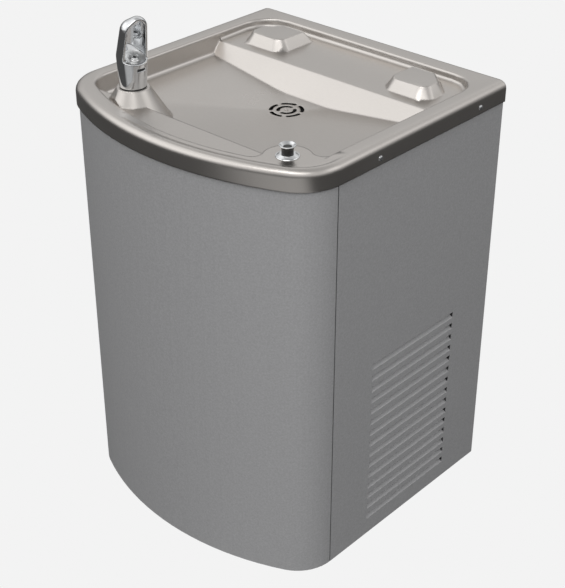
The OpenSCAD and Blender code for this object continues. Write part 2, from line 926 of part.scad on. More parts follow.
// A round wire along a helix, its ends cut square
module helix(r, wire_r, pitch, turns, steps, sides, start = 0) {
  n = turns * steps;
  slope = atan2(pitch, 2 * PI * r);
  loft([for (i = [0:n])
    let (a = start + 360 * i / steps, z = pitch * i / steps)
      [for (k = [0:sides - 1])
        let (b = -360 * k / sides, out = wire_r * cos(b), up = wire_r * sin(b))
          [(r + out) * cos(a) + up * sin(slope) * sin(a),
           (r + out) * sin(a) - up * sin(slope) * cos(a),
           z + up * cos(slope)]]]);
}

module valve_spring() {
  r = (plunger_r + neck_r) / 2;
  length = barrel_l - neck_l - 2 * (spring_wire_r + spring_seat);
  color("#c2c4c6")
    at_button()
      translate([0, 0, -barrel_l + spring_wire_r + spring_seat])
        helix(r, spring_wire_r, length / spring_turns, spring_turns, spring_steps,
          spring_sides);
}

// Waste: the drain cup hangs under the slots and empties through a trap into the wall

drain_gasket_t = 2;
drain_flange_r = 29;
drain_cup_r = 26.5;
drain_cup_h = 12;
cross_bar_w = 7;
cross_bar_h = 5;
drain_head_r = 2.3;
drain_head_h = 1.2;
tailpiece_l = 30;
nut_r = 21;
nut_h = 18;
flute_count = 12;
trap_flat = 4;
drain_seat_z = drain_depth + basin_t;
flange_z = drain_seat_z + drain_gasket_t + waste_t;
cone_z = flange_z + drain_cup_h;
joint_z = cone_z + tailpiece_l;
// How far behind the drain the trap rises again
trap_span = 2 * trap_bend_r + trap_flat;

module at_drain() from_rim() translate([0, -drain_y, 0]) children();

module drain_gasket() {
  color("#2c2c2c")
    at_drain()
      translate([0, 0, -drain_seat_z - drain_gasket_t])
        difference() {
          cylinder(h = drain_gasket_t, r = drain_flange_r);
          translate([0, 0, -overrun])
            cylinder(h = drain_gasket_t + 2 * overrun, r = drain_cup_r);
        }
}

module drain_cup() {
  color("#c9ccce")
    at_drain() {
      rotate_extrude()
        polygon([
          [drain_cup_r - waste_t, -flange_z],
          [waste_r - waste_t, -cone_z],
          [waste_r - waste_t, -joint_z],
          [waste_r, -joint_z],
          [waste_r, -cone_z],
          [drain_cup_r, -flange_z],
          [drain_flange_r, -flange_z],
          [drain_flange_r, waste_t - flange_z],
          [drain_cup_r - waste_t, waste_t - flange_z]]);
      difference() {
        translate([waste_t / 2 - drain_cup_r, -cross_bar_w / 2, waste_t - flange_z - cross_bar_h])
          cube([2 * drain_cup_r - waste_t, cross_bar_w, cross_bar_h]);
        translate([0, 0, -cone_z]) cylinder(h = drain_cup_h + 2 * waste_t, r = drain_screw_r);
        rotate_extrude()
          polygon([
            [drain_cup_r - waste_t / 2, waste_t + overrun - flange_z],
            [drain_cup_r - waste_t / 2, -flange_z],
            [waste_r - waste_t / 2, -cone_z],
            [2 * drain_cup_r, -cone_z],
            [2 * drain_cup_r, waste_t + overrun - flange_z]]);
      }
    }
}

module drain_screw() {
  color("#9a9a98")
    at_drain()
      translate([0, 0, -drain_depth])
        pan_head(drain_screw_r, drain_head_r, drain_head_h,
          flange_z + cross_bar_h - drain_depth);
}

module slip_nut() {
  color("#d6d8da")
    at_drain()
      translate([0, 0, -joint_z - nut_h / 2])
        difference() {
          cylinder(h = nut_h, r = nut_r);
          translate([0, 0, -overrun]) cylinder(h = nut_h + 2 * overrun, r = waste_r);
          for (i = [1:flute_count])
            rotate(i * 360 / flute_count) translate([nut_r, 0, -overrun])
              cylinder(h = nut_h + 2 * overrun, r = waste_t);
        }
}

module waste_trap() {
  low_z = waste_z + trap_drop;
  color("#c9ccce")
    from_rim()
      tube_run([
        [0, -drain_y, -joint_z],
        [0, -drain_y, -low_z],
        [0, trap_span - drain_y, -low_z],
        [0, trap_span - drain_y, -waste_z],
        [0, 0, -waste_z]],
        waste_r, trap_bend_r, waste_r - waste_t);
}

// Cabinet: bowed front panel, louvred side panels, base pan, back frame and basin frame

hem_low_z = overall_h - pan_lip_h - 2 * panel_t;
seam_side = seam_gap / 2;

// A ring of sheet that follows the skirt, between two set-backs
module plan_ring(d_out, d_in, back_out, back_in) {
  difference() {
    polygon(skirt_outline(d_out, back_out));
    polygon(skirt_outline(d_in, back_in));
  }
}

// All that is behind a line at y
module behind(y) {
  translate([-top_w, -y]) square([2 * top_w, top_w + y]);
}

module sheet_band(top_z, low_z) {
  translate([0, 0, -low_z]) linear_extrude(low_z - top_z) children();
}

module front_panel() {
  color("#888888")
    from_rim() {
      sheet_band(panel_top_z, overall_h)
        difference() {
          plan_ring(panel_inset, panel_inset + panel_t, 0, 0);
          behind(seam_y + seam_side);
        }
      sheet_band(overall_h - panel_t, overall_h)
        difference() {
          plan_ring(panel_inset, panel_inset + hem_w, 0, 0);
          behind(seam_y + seam_side);
          panel_screw_dots();
        }
      sheet_band(panel_top_z, hem_low_z)
        both_sides()
          translate([cabinet_half_w - hem_w, -seam_y - seam_side - panel_t])
            square([hem_w - panel_t / 2, panel_t]);
    }
}

louvre_lean = atan2(louvre_in, louvre_up);

module louvre_tab() {
  dx = panel_t * cos(louvre_lean);
  dz = panel_t * sin(louvre_lean);
  translate([0, -louvre_rear_y, 0])
    rotate([90, 0, 0])
      linear_extrude(louvre_l)
        polygon([
          [0, 0],
          [-louvre_in, louvre_up],
          [-louvre_in - dx, louvre_up - dz],
          [-panel_t, -panel_t],
          [0, -panel_t]]);
}

module side_panel() {
  depth = seam_y - seam_side - basin_t - lay_clear;
  difference() {
    sheet_band(panel_top_z, overall_h)
      translate([inner_half_w, seam_side - seam_y]) square([panel_t, depth]);
    for (i = [0:louvre_count - 1])
      translate([
        inner_half_w - overrun,
        -louvre_rear_y - louvre_l,
        -louvre_top_z - i * louvre_pitch - louvre_h])
        cube([panel_t + 2 * overrun, louvre_l, louvre_h]);
    for (y = skirt_screw_ys)
      translate([inner_half_w - overrun, -y, -skirt_screw_z])
        rotate([0, 90, 0])
          cylinder(h = panel_t + 2 * overrun, r = screw_r + hole_clear);
  }
  for (i = [0:louvre_count - 1])
    translate([cabinet_half_w, 0, -louvre_top_z - i * louvre_pitch - louvre_h]) louvre_tab();
  sheet_band(panel_top_z, panel_top_z + panel_t)
    translate([half_w - bead_w - hole_clear, -dip_start_y])
      square([bead_w + hole_clear - panel_inset - panel_t / 2,
        dip_start_y - basin_t - lay_clear]);
  sheet_band(overall_h - panel_t, overall_h)
    difference() {
      translate([cabinet_half_w - hem_w, seam_side - seam_y])
        square([hem_w - panel_t / 2, depth]);
      panel_screw_dots();
    }
  sheet_band(panel_top_z, hem_low_z)
    translate([cabinet_half_w - hem_w, seam_side - seam_y])
      square([hem_w - panel_t / 2, panel_t]);
}

module side_panel_right() {
  color("#767676") from_rim() side_panel();
}

module side_panel_left() {
  color("#767676") from_rim() mirror([1, 0, 0]) side_panel();
}

pan_slot_count = 5;
pan_slot_w = 8;
pan_slot_l = 60;
pan_screw_edge = hem_w / 2 + panel_t;
panel_screw_l = 8;
front_screw_x = half_w / 2;
side_screw_inset = 60;

// Screws from the panels' bottom edges into the base pan
panel_screw_places = [
  for (s = [-1, 1])
    each [
      [s * front_screw_x,
        pan_screw_edge + panel_inset - bow_centre_y
          - sqrt(pow(bow_r, 2) - pow(front_screw_x, 2))],
      [s * (cabinet_half_w - pan_screw_edge), -side_screw_inset],
      [s * (cabinet_half_w - pan_screw_edge), side_screw_inset - seam_y]]];

module panel_screw_dots() {
  for (p = panel_screw_places) translate(p) circle(screw_r + hole_clear / 2);
}

module base_pan() {
  d = panel_inset + panel_t;
  color("#9a9d9f")
    from_rim()
      difference() {
        union() {
          sheet_band(pan_top_z, pan_z)
            difference() {
              polygon(skirt_outline(d, frame_front_y));
              panel_screw_dots();
            }
          sheet_band(pan_z - pan_lip_h, pan_z)
            plan_ring(d, d + steel_t, frame_front_y, frame_front_y + steel_t);
        }
        for (i = [0:pan_slot_count - 1])
          translate([
            hub_r + i * 2 * pan_slot_w,
            -seam_y + side_screw_inset,
            -pan_z - overrun])
            cube([pan_slot_w, pan_slot_l, steel_t + 2 * overrun]);
      }
}

module panel_screws() {
  color("#b8babc")
    from_rim()
      for (p = panel_screw_places)
        translate([p[0], p[1], -overall_h])
          rotate([180, 0, 0])
            pan_head(screw_r, screw_head_r, screw_head_h, panel_screw_l);
}

frame_top_z = 30;
pipe_window = [-45, 105, 115, 215];
vent_rise = 235;
vent_h = 160;
vent_window = [-130, 100, overall_h - vent_rise, overall_h - vent_rise + vent_h];
hook_slot_play = 2;
hook_rise = hook_h + hanger_t + hook_slot_play;
hook_seat_z = 10;
lag_z = overall_h - 3 * pan_lip_h;
cord_hole_r = 8;
box_w = 70;
box_d = 50;
box_h = 70;
box_gap = 4.7;
box_edge = 34.15;
box_x = inner_half_w - box_edge - box_w;
box_z = pan_z - pan_lip_h - box_gap;
cord_x = box_x + box_w / 2;
cord_z = box_z - box_h / 2;

// A window in the back frame: left, right, top and bottom
module window(w) {
  translate([w[0], -frame_front_y - overrun, -w[3]])
    cube([w[1] - w[0], steel_t + 2 * overrun, w[3] - w[2]]);
}

module back_frame() {
  color("#9a9d9f")
    from_rim()
      difference() {
        union() {
          translate([-inner_half_w, -frame_front_y, -pan_z])
            cube([2 * inner_half_w, steel_t, pan_z - frame_top_z]);
          both_sides()
            translate([inner_half_w - steel_t, -frame_front_y, -pan_z])
              cube([steel_t, frame_front_y, pan_z - frame_top_z]);
          for (z = [-frame_top_z - steel_t, -pan_z])
            translate([-inner_half_w, -frame_front_y, z])
              cube([2 * inner_half_w, frame_front_y, steel_t]);
        }
        window(pipe_window);
        window(vent_window);
        both_sides()
          translate([
            hook_x - hook_w / 2 - hook_slot_play,
            -frame_front_y - overrun,
            hook_seat_z + hanger_t - rim_above_mount - hook_rise])
            cube([hook_w + 2 * hook_slot_play, steel_t + 2 * overrun, hook_rise]);
        both_sides()
          translate([inner_half_w - lag_edge, overrun - frame_standoff, -lag_z])
            rotate([90, 0, 0])
              cylinder(h = steel_t + 2 * overrun, r = wall_hole_r);
        translate([cord_x, overrun - frame_standoff, -cord_z])
          rotate([90, 0, 0]) cylinder(h = steel_t + 2 * overrun, r = cord_hole_r);
      }
}

rail_w = 10;

module top_frame() {
  d = bead_w + hole_clear;
  color("#9a9d9f")
    from_rim()
      difference() {
        union() {
          sheet_band(basin_t, top_frame_h)
            difference() {
              plan_ring(d, d + steel_t, frame_front_y, frame_front_y + steel_t);
              mirror([0, 1]) behind(-dip_start_y);
            }
          sheet_band(basin_t, basin_t + steel_t)
            difference() {
              plan_ring(d, d + rail_w, frame_front_y, frame_front_y + rail_w);
              mirror([0, 1]) behind(-dip_start_y);
            }
        }
        for (y = skirt_screw_ys)
          both_sides()
            translate([half_w - bead_w - 2 * steel_t, -y, -skirt_screw_z])
              rotate([0, 90, 0]) cylinder(h = 4 * steel_t, r = screw_r);
      }
}

hanger_end = 25;
hanger_margin = 10;
hook_gap = 0.5;

module wall_hanger() {
  w = hanger_hole_dx + 2 * hanger_end;
  h = hanger_hole_dz + 2 * hanger_margin;
  reach = frame_front_y + hook_gap + hanger_t;
  color("#8c8f92")
    difference() {
      union() {
        translate([-w / 2, -hanger_t, -h / 2]) cube([w, hanger_t, h]);
        both_sides()
          translate([hook_x - hook_w / 2, -reach, hook_seat_z]) {
            cube([hook_w, reach, hanger_t]);
            cube([hook_w, hanger_t, hook_h]);
          }
      }
      for (x = [-1, 1] * hanger_hole_dx / 2, z = [-1, 1] * hanger_hole_dz / 2)
        translate([x, overrun, z])
          rotate([90, 0, 0]) cylinder(h = hanger_t + 2 * overrun, r = wall_hole_r);
    }
}

// Cooling tank and evaporator in two foam halves, on a shelf

foam_gap = 20;
tank_stub_r = 5;
tank_stub_x = 25;
foam_top_z = tank_top_z - foam_gap;
foam_low_z = tank_top_z + tank_h + foam_gap;
tank_stub_h = foam_gap + 2 * evap_tube_r;
coil_play = 1.3;
evap_r = tank_r + evap_tube_r + coil_play;
evap_out_r = evap_r + evap_tube_r;
coil_inset = 24;
evap_top_z = tank_top_z + coil_inset;
evap_low_z = tank_top_z + tank_h - coil_inset;
evap_steps = 16;
evap_sides = 6;
suction_r = 5;
capillary_r = 1.2;
bulb_line_r = 1.5;
bulb_up = 106;
bulb_line_z = foam_low_z - bulb_up;
tank_dome = 8;

module at_tank() from_rim() translate([-tank_x, -tank_y, 0]) children();

// The tank's outside, or its inside when moved in by d
module tank_form(d) {
  translate([0, 0, -tank_top_z - tank_h])
    rotate_extrude()
      polygon([
        [0, d],
        [tank_r - tank_dome, d],
        [tank_r - d, tank_dome],
        [tank_r - d, tank_h - tank_dome],
        [tank_r - tank_dome, tank_h - d],
        [0, tank_h - d]]);
}

module cooling_tank() {
  color("#c4c7c9")
    at_tank()
      difference() {
        union() {
          tank_form(0);
          for (s = [-1, 1])
            translate([s * tank_stub_x, 0, -tank_top_z - basin_t])
              cylinder(h = tank_stub_h + basin_t, r = tank_stub_r);
        }
        tank_form(basin_t);
        for (s = [-1, 1])
          translate([s * tank_stub_x, 0, -tank_top_z - tank_dome])
            cylinder(h = 2 * tank_stub_h, r = tube_r);
      }
}

module evaporator_coil() {
  color("#b87346")
    at_tank()
      translate([0, 0, -evap_low_z])
        helix(evap_r, evap_tube_r, (evap_low_z - evap_top_z) / evap_turns, evap_turns,
          evap_steps, evap_sides, -90);
}

// One foam half, on the side where y has the given sign
module foam_half(side) {
  difference() {
    translate([-foam_w / 2, side > 0 ? 0 : -foam_w / 2, -foam_low_z])
      cube([foam_w, foam_w / 2, foam_low_z - foam_top_z]);
    translate([0, 0, -tank_top_z - tank_h])
      cylinder(h = tank_h, r = evap_out_r + lay_clear);
    for (s = [-1, 1])
      translate([s * tank_stub_x, 0, -tank_top_z - overrun])
        cylinder(h = tank_stub_h, r = tank_stub_r);
    if (side < 0) {
      for (line = [[evap_low_z, suction_r], [evap_top_z, capillary_r]])
        translate([0, 0, -line[0]])
          rotate([90, 0, 0]) cylinder(h = foam_w, r = line[1] + lay_clear);
    }
    translate([0, 0, -bulb_line_z])
      rotate([0, 90, 0]) cylinder(h = foam_w, r = bulb_line_r + lay_clear);
  }
}

module tank_insulation_front() {
  color("#e8e6df") at_tank() foam_half(-1);
}

module tank_insulation_back() {
  color("#e8e6df") at_tank() foam_half(1);
}

module tank_shelf() {
  depth = tank_y + foam_w / 2 + steel_t;
  color("#9a9d9f")
    from_rim() {
      translate([-tank_x - foam_w / 2, -depth, -foam_low_z - steel_t])
        cube([foam_w, depth - frame_front_y, steel_t]);
      translate([-tank_x - foam_w / 2, -frame_front_y - steel_t, -foam_low_z - top_frame_h])
        cube([foam_w, steel_t, top_frame_h]);
      translate([-tank_x - foam_w / 2, -depth, -foam_low_z - steel_t])
        cube([foam_w, steel_t, hem_w]);
    }
}

// Compressor on four rubber grommets

foot_plate_t = 3;
foot_r = 15;
grommet_h = 16;
grommet_low_h = 8;
grommet_groove_r = 8;
grommet_flange_r = 12;
bolt_r = 3;
bolt_head_r = 7;
bolt_head_h = 5;
comp_plate_z = pan_top_z - grommet_low_h;
comp_base_z = comp_plate_z - foot_plate_t;
comp_dome = comp_r / 2;
comp_seam_h = 4;
comp_seam_out = 3;
discharge_r = 3.2;
stub_share = 0.6;
discharge_share = 0.4;
discharge_y = comp_y - comp_r * stub_share;
discharge_z = comp_base_z - comp_h * discharge_share;
discharge_end_x = 0;
suction_gap = 50;
suction_y = tank_y + foam_w / 2 + suction_gap;
suction_stub_top_z = comp_base_z - comp_h - foam_gap;
cover_w = 50;
cover_out = 24;
foot_places = [for (s = [-1, 1], t = [-1, 1]) [s * foot_dx / 2, t * foot_dy / 2]];

module at_compressor(z) from_rim() translate([-comp_x, -comp_y, -z]) children();

module compressor() {
  color("#222325") {
    at_compressor(comp_plate_z)
      linear_extrude(foot_plate_t)
        difference() {
          union() {
            square([foot_dx, foot_dy / 2], center = true);
            square([foot_dx / 2, foot_dy], center = true);
            for (p = foot_places) {
              translate(p) circle(foot_r);
              translate(p / 2) square([foot_dx, foot_dy] / 2, center = true);
            }
          }
          for (p = foot_places) translate(p) circle(grommet_groove_r);
        }
    at_compressor(comp_base_z) {
      rotate_extrude()
        polygon(concat(
          [[0, 0]],
          [for (i = [0:corner_steps]) let (a = 90 * i / corner_steps - 90)
            [comp_r + comp_dome / 2 * (cos(a) - 1), comp_dome / 2 * (1 + sin(a))]],
          [[comp_r, comp_h / 2],
           [comp_r + comp_seam_out, comp_h / 2],
           [comp_r + comp_seam_out, comp_h / 2 + comp_seam_h],
           [comp_r, comp_h / 2 + comp_seam_h]],
          [for (i = [0:corner_steps - 1]) let (a = 90 * i / corner_steps)
            [comp_r * cos(a), comp_h - comp_dome + comp_dome * sin(a)]],
          [[0, comp_h]]));
    }
    from_rim() {
      translate([-comp_x + comp_r * stub_share, -discharge_y, -discharge_z])
        rotate([0, 90, 0])
          cylinder(h = discharge_end_x + comp_x - comp_r * stub_share, r = discharge_r);
      translate([-tank_x, -suction_y, -comp_base_z + comp_h / 2])
        cylinder(h = comp_base_z - comp_h / 2 - suction_stub_top_z, r = suction_r);
    }
  }
}

module compressor_grommets() {
  color("#303030")
    for (p = foot_places)
      at_compressor(pan_top_z)
        translate(p)
          rotate_extrude()
            polygon([
              [bolt_r, 0],
              [grommet_flange_r, 0],
              [grommet_flange_r, grommet_low_h],
              [grommet_groove_r, grommet_low_h],
              [grommet_groove_r, grommet_low_h + foot_plate_t],
              [grommet_flange_r, grommet_low_h + foot_plate_t],
              [grommet_flange_r - foot_plate_t, grommet_h],
              [bolt_r, grommet_h]]);
}

module compressor_bolts() {
  color("#b8babc")
    for (p = foot_places)
      at_compressor(pan_top_z)
        translate(p) {
          cylinder(h = grommet_h + bolt_head_h + bolt_r, r = bolt_r);
          translate([0, 0, grommet_h]) cylinder(h = bolt_head_h, r = bolt_head_r, $fn = 6);
        }
}

module terminal_cover() {
  color("#3a3b3d")
    at_compressor(comp_base_z)
      difference() {
        translate([0, -cover_w / 2, comp_dome / 2])
          cube([comp_r + cover_out, cover_w, comp_h / 2 - comp_dome / 2]);
        translate([0, 0, -overrun]) cylinder(h = comp_h, r = comp_r);
      }
}

// Condenser, fan and refrigerant lines

end_plate_t = 1.2;
shroud_d = 15;
shroud_x = cond_x - shroud_d;
fan_y = cond_rear_y + cond_l / 2;
fan_axis_z = cond_top_z + cond_w + fan_r;
cond_low_z = cond_top_z + pass_count * pass_pitch;
cond_mid_x = cond_x + cond_w / 2;
cond_end = cond_rear_y + cond_l;
tube_stub = 20;
hairpin_flat = 2;
first_pass_z = cond_top_z + pass_pitch / 2;
last_pass_z = first_pass_z + (pass_count - 1) * pass_pitch;
blade_depth = 10;
blade_t = 1.5;
fan_x = shroud_x - steel_t / 2 + cond_tube_r;
strap_w = 30;
shaft_tail = 39;
shaft_end_gap = 1;
drier_r = 10;
drier_l = 80;
drier_cone = 12;
line_bend_r = 10;
fine_bend_r = 8;
line_gap = 15;
line_front_y = cond_end + tube_stub + line_gap;
riser_x = 30;

// The tube's corners, pass after pass, entering and leaving at the front
function serpentine() = [
  for (i = [0:pass_count - 1])
    let (z = -first_pass_z - i * pass_pitch,
       front = i == 0 || i == pass_count - 1 ? -cond_end - tube_stub
         : -cond_end - pass_pitch / 2,
       rear = -cond_rear_y + pass_pitch / 2)
    each i % 2 == 0
      ? [[cond_mid_x, front, z], [cond_mid_x, rear, z]]
      : [[cond_mid_x, rear, z], [cond_mid_x, front, z]]];

module condenser() {
  color("#a9adb0")
    from_rim() {
      tube_run(serpentine(), cond_tube_r, (pass_pitch - hairpin_flat) / 2);
      for (y = [-cond_rear_y - end_plate_t, -cond_end])
        translate([cond_x, y, -pan_top_z])
          cube([cond_w, end_plate_t, pan_top_z - cond_top_z]);
      for (i = [1:fin_count])
        translate([
          cond_x + end_plate_t,
          -cond_rear_y - i * cond_l / (fin_count + 1),
          -cond_low_z])
          cube([cond_w - 2 * end_plate_t, fin_t, cond_low_z - cond_top_z]);
    }
}

module fan_shroud() {
  color("#9a9d9f")
    from_rim()
      difference() {
        translate([shroud_x, -cond_end, -pan_top_z])
          cube([cond_x - shroud_x, cond_l, pan_top_z - cond_top_z]);
        translate([
          shroud_x + steel_t,
          -cond_end + steel_t,
          -pan_top_z - overrun])
          cube([cond_x, cond_l - 2 * steel_t, pan_top_z - cond_top_z + overrun - steel_t]);
        translate([shroud_x - overrun, -fan_y, -fan_axis_z])
          rotate([0, 90, 0])
            cylinder(h = steel_t + 2 * overrun, r = fan_r + fan_gap);
      }
}

module at_fan(x) from_rim() translate([x, -fan_y, -fan_axis_z]) rotate([0, 90, 0]) children();

module fan_bracket() {
  reach = fan_r + fan_gap + hem_w;
  color("#9a9d9f")
    at_fan(shroud_x - steel_t)
      difference() {
        translate([-reach, -strap_w / 2, 0]) cube([2 * reach, strap_w, steel_t]);
        translate([0, 0, -overrun])
          cylinder(h = steel_t + 2 * overrun, r = shaft_r + 2 * hole_clear);
      }
}

module fan_motor() {
  edge = motor_r / 8;
  color("#2b2c2e")
    at_fan(shroud_x - steel_t - motor_l)
      difference() {
        rotate_extrude()
          polygon([
            [0, 0],
            [motor_r - edge, 0],
            [motor_r, edge],
            [motor_r, motor_l - edge],
            [motor_r - edge, motor_l],
            [0, motor_l]]);
        translate([0, 0, motor_l - shaft_tail - shaft_end_gap])
          cylinder(h = motor_l, r = shaft_r + run_fit);
      }
}

module fan_shaft() {
  color("#b8babc")
    at_fan(shroud_x - steel_t - shaft_tail)
      cylinder(h = shaft_tail + fan_x - shroud_x + steel_t + blade_depth, r = shaft_r);
}

module fan_blades() {
  color("#3b4a57")
    at_fan(fan_x)
      difference() {
        union() {
          cylinder(h = blade_depth, r = hub_r);
          intersection() {
            cylinder(h = blade_depth, r = fan_r);
            for (i = [0:blade_count - 1])
              rotate(i * 360 / blade_count)
                translate([0, 0, blade_depth / 2])
                  rotate([blade_angle, 0, 0])
                    translate([hub_r / 2, -fan_r / 2, -blade_t / 2])
                      cube([fan_r, fan_r, blade_t]);
          }
        }
        translate([0, 0, -overrun])
          cylinder(h = blade_depth + 2 * overrun, r = shaft_r);
      }
}

module filter_drier() {
  color("#b87346")
    from_rim()
      translate([cond_mid_x, -cond_end - tube_stub, -last_pass_z])
        rotate([90, 0, 0])
          rotate_extrude()
            polygon([
              [0, 0],
              [cond_tube_r, 0],
              [drier_r, drier_cone],
              [drier_r, drier_l - drier_cone],
              [capillary_r + run_fit, drier_l],
              [0, drier_l]]);
}

module discharge_line() {
  color("#b87346")
    from_rim()
      tube_run([
        [discharge_end_x, -discharge_y, -discharge_z],
        [riser_x, -discharge_y, -discharge_z],
        [riser_x, -line_front_y, -discharge_z],
        [riser_x, -line_front_y, -first_pass_z],
        [cond_mid_x, -line_front_y, -first_pass_z],
        [cond_mid_x, -cond_end - tube_stub, -first_pass_z]],
        discharge_r, line_bend_r);
}

module capillary_tube() {
  front_y = cond_end + tube_stub + drier_l + 2 * line_bend_r;
  color("#b87346")
    from_rim()
      tube_run([
        [cond_mid_x, -cond_end - tube_stub - drier_l, -last_pass_z],
        [cond_mid_x, -front_y, -last_pass_z],
        [riser_x, -front_y, -last_pass_z],
        [riser_x, -front_y, -evap_top_z],
        [-tank_x, -front_y, -evap_top_z],
        [-tank_x, -tank_y - evap_out_r - lay_clear, -evap_top_z]],
        capillary_r, fine_bend_r);
}

module suction_line() {
  color("#b87346")
    from_rim()
      tube_run([
        [-tank_x, -tank_y - evap_out_r - lay_clear, -evap_low_z],
        [-tank_x, -suction_y, -evap_low_z],
        [-tank_x, -suction_y, -suction_stub_top_z]],
        suction_r, 2 * line_bend_r);
}

// Water: strainer at the wall, then tank, valve and bubbler

clip_arm = 48;
clip_x = supply_x + clip_arm;
clip_y = 48;
clip_margin = 4;
clip_half = strainer_r + clip_margin;
strainer_y = 30;
supply_rise_y = tank_y;
supply_run_up = 22;
chilled_run_up = 35;
chilled_front_y = 260;
supply_run_z = foam_top_z - supply_run_up;
chilled_run_z = foam_top_z - chilled_run_up;
tank_stub_top_z = tank_top_z - tank_stub_h;

module inlet_strainer() {
  color("#b9a15a")
    from_rim()
      translate([supply_x, 0, -supply_z])
        rotate([90, 0, 0]) {
          cylinder(h = strainer_y, r = supply_r);
          translate([0, 0, strainer_y]) cylinder(h = strainer_l, r = strainer_r);
          translate([0, 0, strainer_y])
            cylinder(h = strainer_r, r = strainer_r + 2 * basin_t, $fn = 6);
        }
}

module strainer_bracket() {
  color("#9a9d9f")
    from_rim()
      difference() {
        union() {
          translate([supply_x - clip_half, -clip_y - steel_t, -supply_z - clip_half])
            cube([clip_x - supply_x + clip_half, steel_t, 2 * clip_half]);
          translate([clip_x - steel_t, -clip_y - steel_t, -supply_z - clip_half])
            cube([steel_t, clip_y + steel_t - frame_front_y, 2 * clip_half]);
          translate([clip_x - steel_t, -frame_front_y - steel_t, -supply_z - clip_half])
            cube([hem_w, steel_t, 2 * clip_half]);
        }
        translate([supply_x, 0, -supply_z])
          rotate([90, 0, 0]) cylinder(h = 2 * clip_y, r = strainer_r);
      }
}

module supply_tube() {
  color("#d9dde0")
    from_rim()
      tube_run([
        [supply_x, -strainer_y - strainer_l, -supply_z],
        [supply_x, -supply_rise_y, -supply_z],
        [supply_x, -supply_rise_y, -supply_run_z],
        [tank_stub_x - tank_x, -supply_rise_y, -supply_run_z],
        [tank_stub_x - tank_x, -tank_y, -tank_stub_top_z]],
        tube_r, fine_bend_r, tube_bore_r);
}

module chilled_tube() {
  x = -tank_x - tank_stub_x;
  z = dip_depth + port_z;
  color("#d9dde0")
    from_rim()
      tube_run([
        [x, -tank_y, -tank_stub_top_z],
        [x, -tank_y, -chilled_run_z],
        [x, -chilled_front_y, -chilled_run_z],
        [button_x, -chilled_front_y, -chilled_run_z],
        [button_x, -chilled_front_y, -z],
        [button_x, valve_r + port_l - fittings_y, -z]],
        tube_r, fine_bend_r, tube_bore_r);
}

module bubbler_tube() {
  z = dip_depth + port_z;
  end_z = shank_l - gasket_t - pedestal_h - line_bend_r;
  color("#d9dde0")
    from_rim()
      tube_run([
        [button_x - valve_r - port_l, -fittings_y, -z],
        [-bubbler_x, -fittings_y, -z],
        [-bubbler_x, -fittings_y, -end_z]],
        tube_r, fine_bend_r, tube_bore_r);
}

// Thermostat and power

stat_w = 40;
stat_d = 30;
stat_h = 45;
stat_edge = 74.15;
stat_x = inner_half_w - stat_edge;
stat_bulb_h = 9;
stat_z = bulb_line_z - stat_bulb_h;
stem_out = 12;
stem_in = 10;
stem_slot_w = 1.2;
stem_slot_h = 2;
cover_t = 1.2;
bush_flange_t = 3;
bush_flange_r = cord_hole_r + 2;
lead_share = 0.3;
power_lead_y = frame_front_y + box_d / 2;

module thermostat() {
  tail_y = tank_y;
  bore_l = stem_in + lay_clear;
  color("#d8d4c8")
    from_rim() {
      difference() {
        translate([stat_x - stat_w / 2, -frame_front_y - stat_d, -stat_z - stat_h])
          cube([stat_w, stat_d, stat_h]);
        translate([stat_x, bore_l - frame_front_y - stat_d, -stat_z - stat_h / 2])
          rotate([90, 0, 0]) cylinder(h = bore_l + overrun, r = stem_r + run_fit);
      }
      tube_run([
        [stat_x - stat_w / 4, -frame_front_y - stat_d + overrun, -bulb_line_z],
        [stat_x - stat_w / 4, -tail_y, -bulb_line_z],
        [evap_out_r + lay_clear - tank_x, -tail_y, -bulb_line_z]],
        bulb_line_r, fine_bend_r);
    }
}

module thermostat_stem() {
  tip = -frame_front_y - stat_d - stem_out;
  color("#c9a24a")
    from_rim()
      difference() {
        translate([stat_x, tip + stem_out + stem_in, -stat_z - stat_h / 2])
          rotate([90, 0, 0]) cylinder(h = stem_out + stem_in, r = stem_r);
        translate([stat_x - stem_slot_w / 2, tip - overrun, -stat_z - stat_h])
          cube([stem_slot_w, stem_slot_h + overrun, stat_h]);
      }
}

module junction_box() {
  color("#a4a7a9")
    from_rim()
      difference() {
        translate([box_x, -frame_front_y - box_d, -box_z])
          cube([box_w, box_d, box_h]);
        translate([box_x + cover_t, -frame_front_y - box_d - overrun, cover_t - box_z])
          cube([box_w - 2 * cover_t, box_d + overrun - cover_t, box_h - 2 * cover_t]);
        translate([cord_x, overrun - frame_front_y, -cord_z])
          rotate([90, 0, 0]) cylinder(h = cover_t + 2 * overrun, r = cord_hole_r);
      }
}

module junction_cover() {
  lip = 4;
  color("#a4a7a9")
    from_rim() {
      translate([box_x, -frame_front_y - box_d - cover_t, -box_z])
        cube([box_w, cover_t, box_h]);
      translate([box_x + cover_t, -frame_front_y - box_d, cover_t - box_z])
        difference() {
          cube([box_w - 2 * cover_t, lip, box_h - 2 * cover_t]);
          translate([cover_t, -overrun, cover_t])
            cube([box_w - 4 * cover_t, lip + 2 * overrun, box_h - 4 * cover_t]);
        }
    }
}

module cord_bush() {
  grip = steel_t + cover_t;
  color("#1d1d1d")
    from_rim()
      translate([cord_x, bush_flange_t - frame_standoff, -cord_z])
        rotate([90, 0, 0])
          rotate_extrude()
            polygon([
              [cord_bore_r, 0],
              [bush_flange_r, 0],
              [bush_flange_r, bush_flange_t],
              [cord_hole_r, bush_flange_t],
              [cord_hole_r, bush_flange_t + grip],
              [bush_flange_r, bush_flange_t + grip],
              [bush_flange_r, 2 * bush_flange_t + grip],
              [cord_bore_r, 2 * bush_flange_t + grip]]);
}

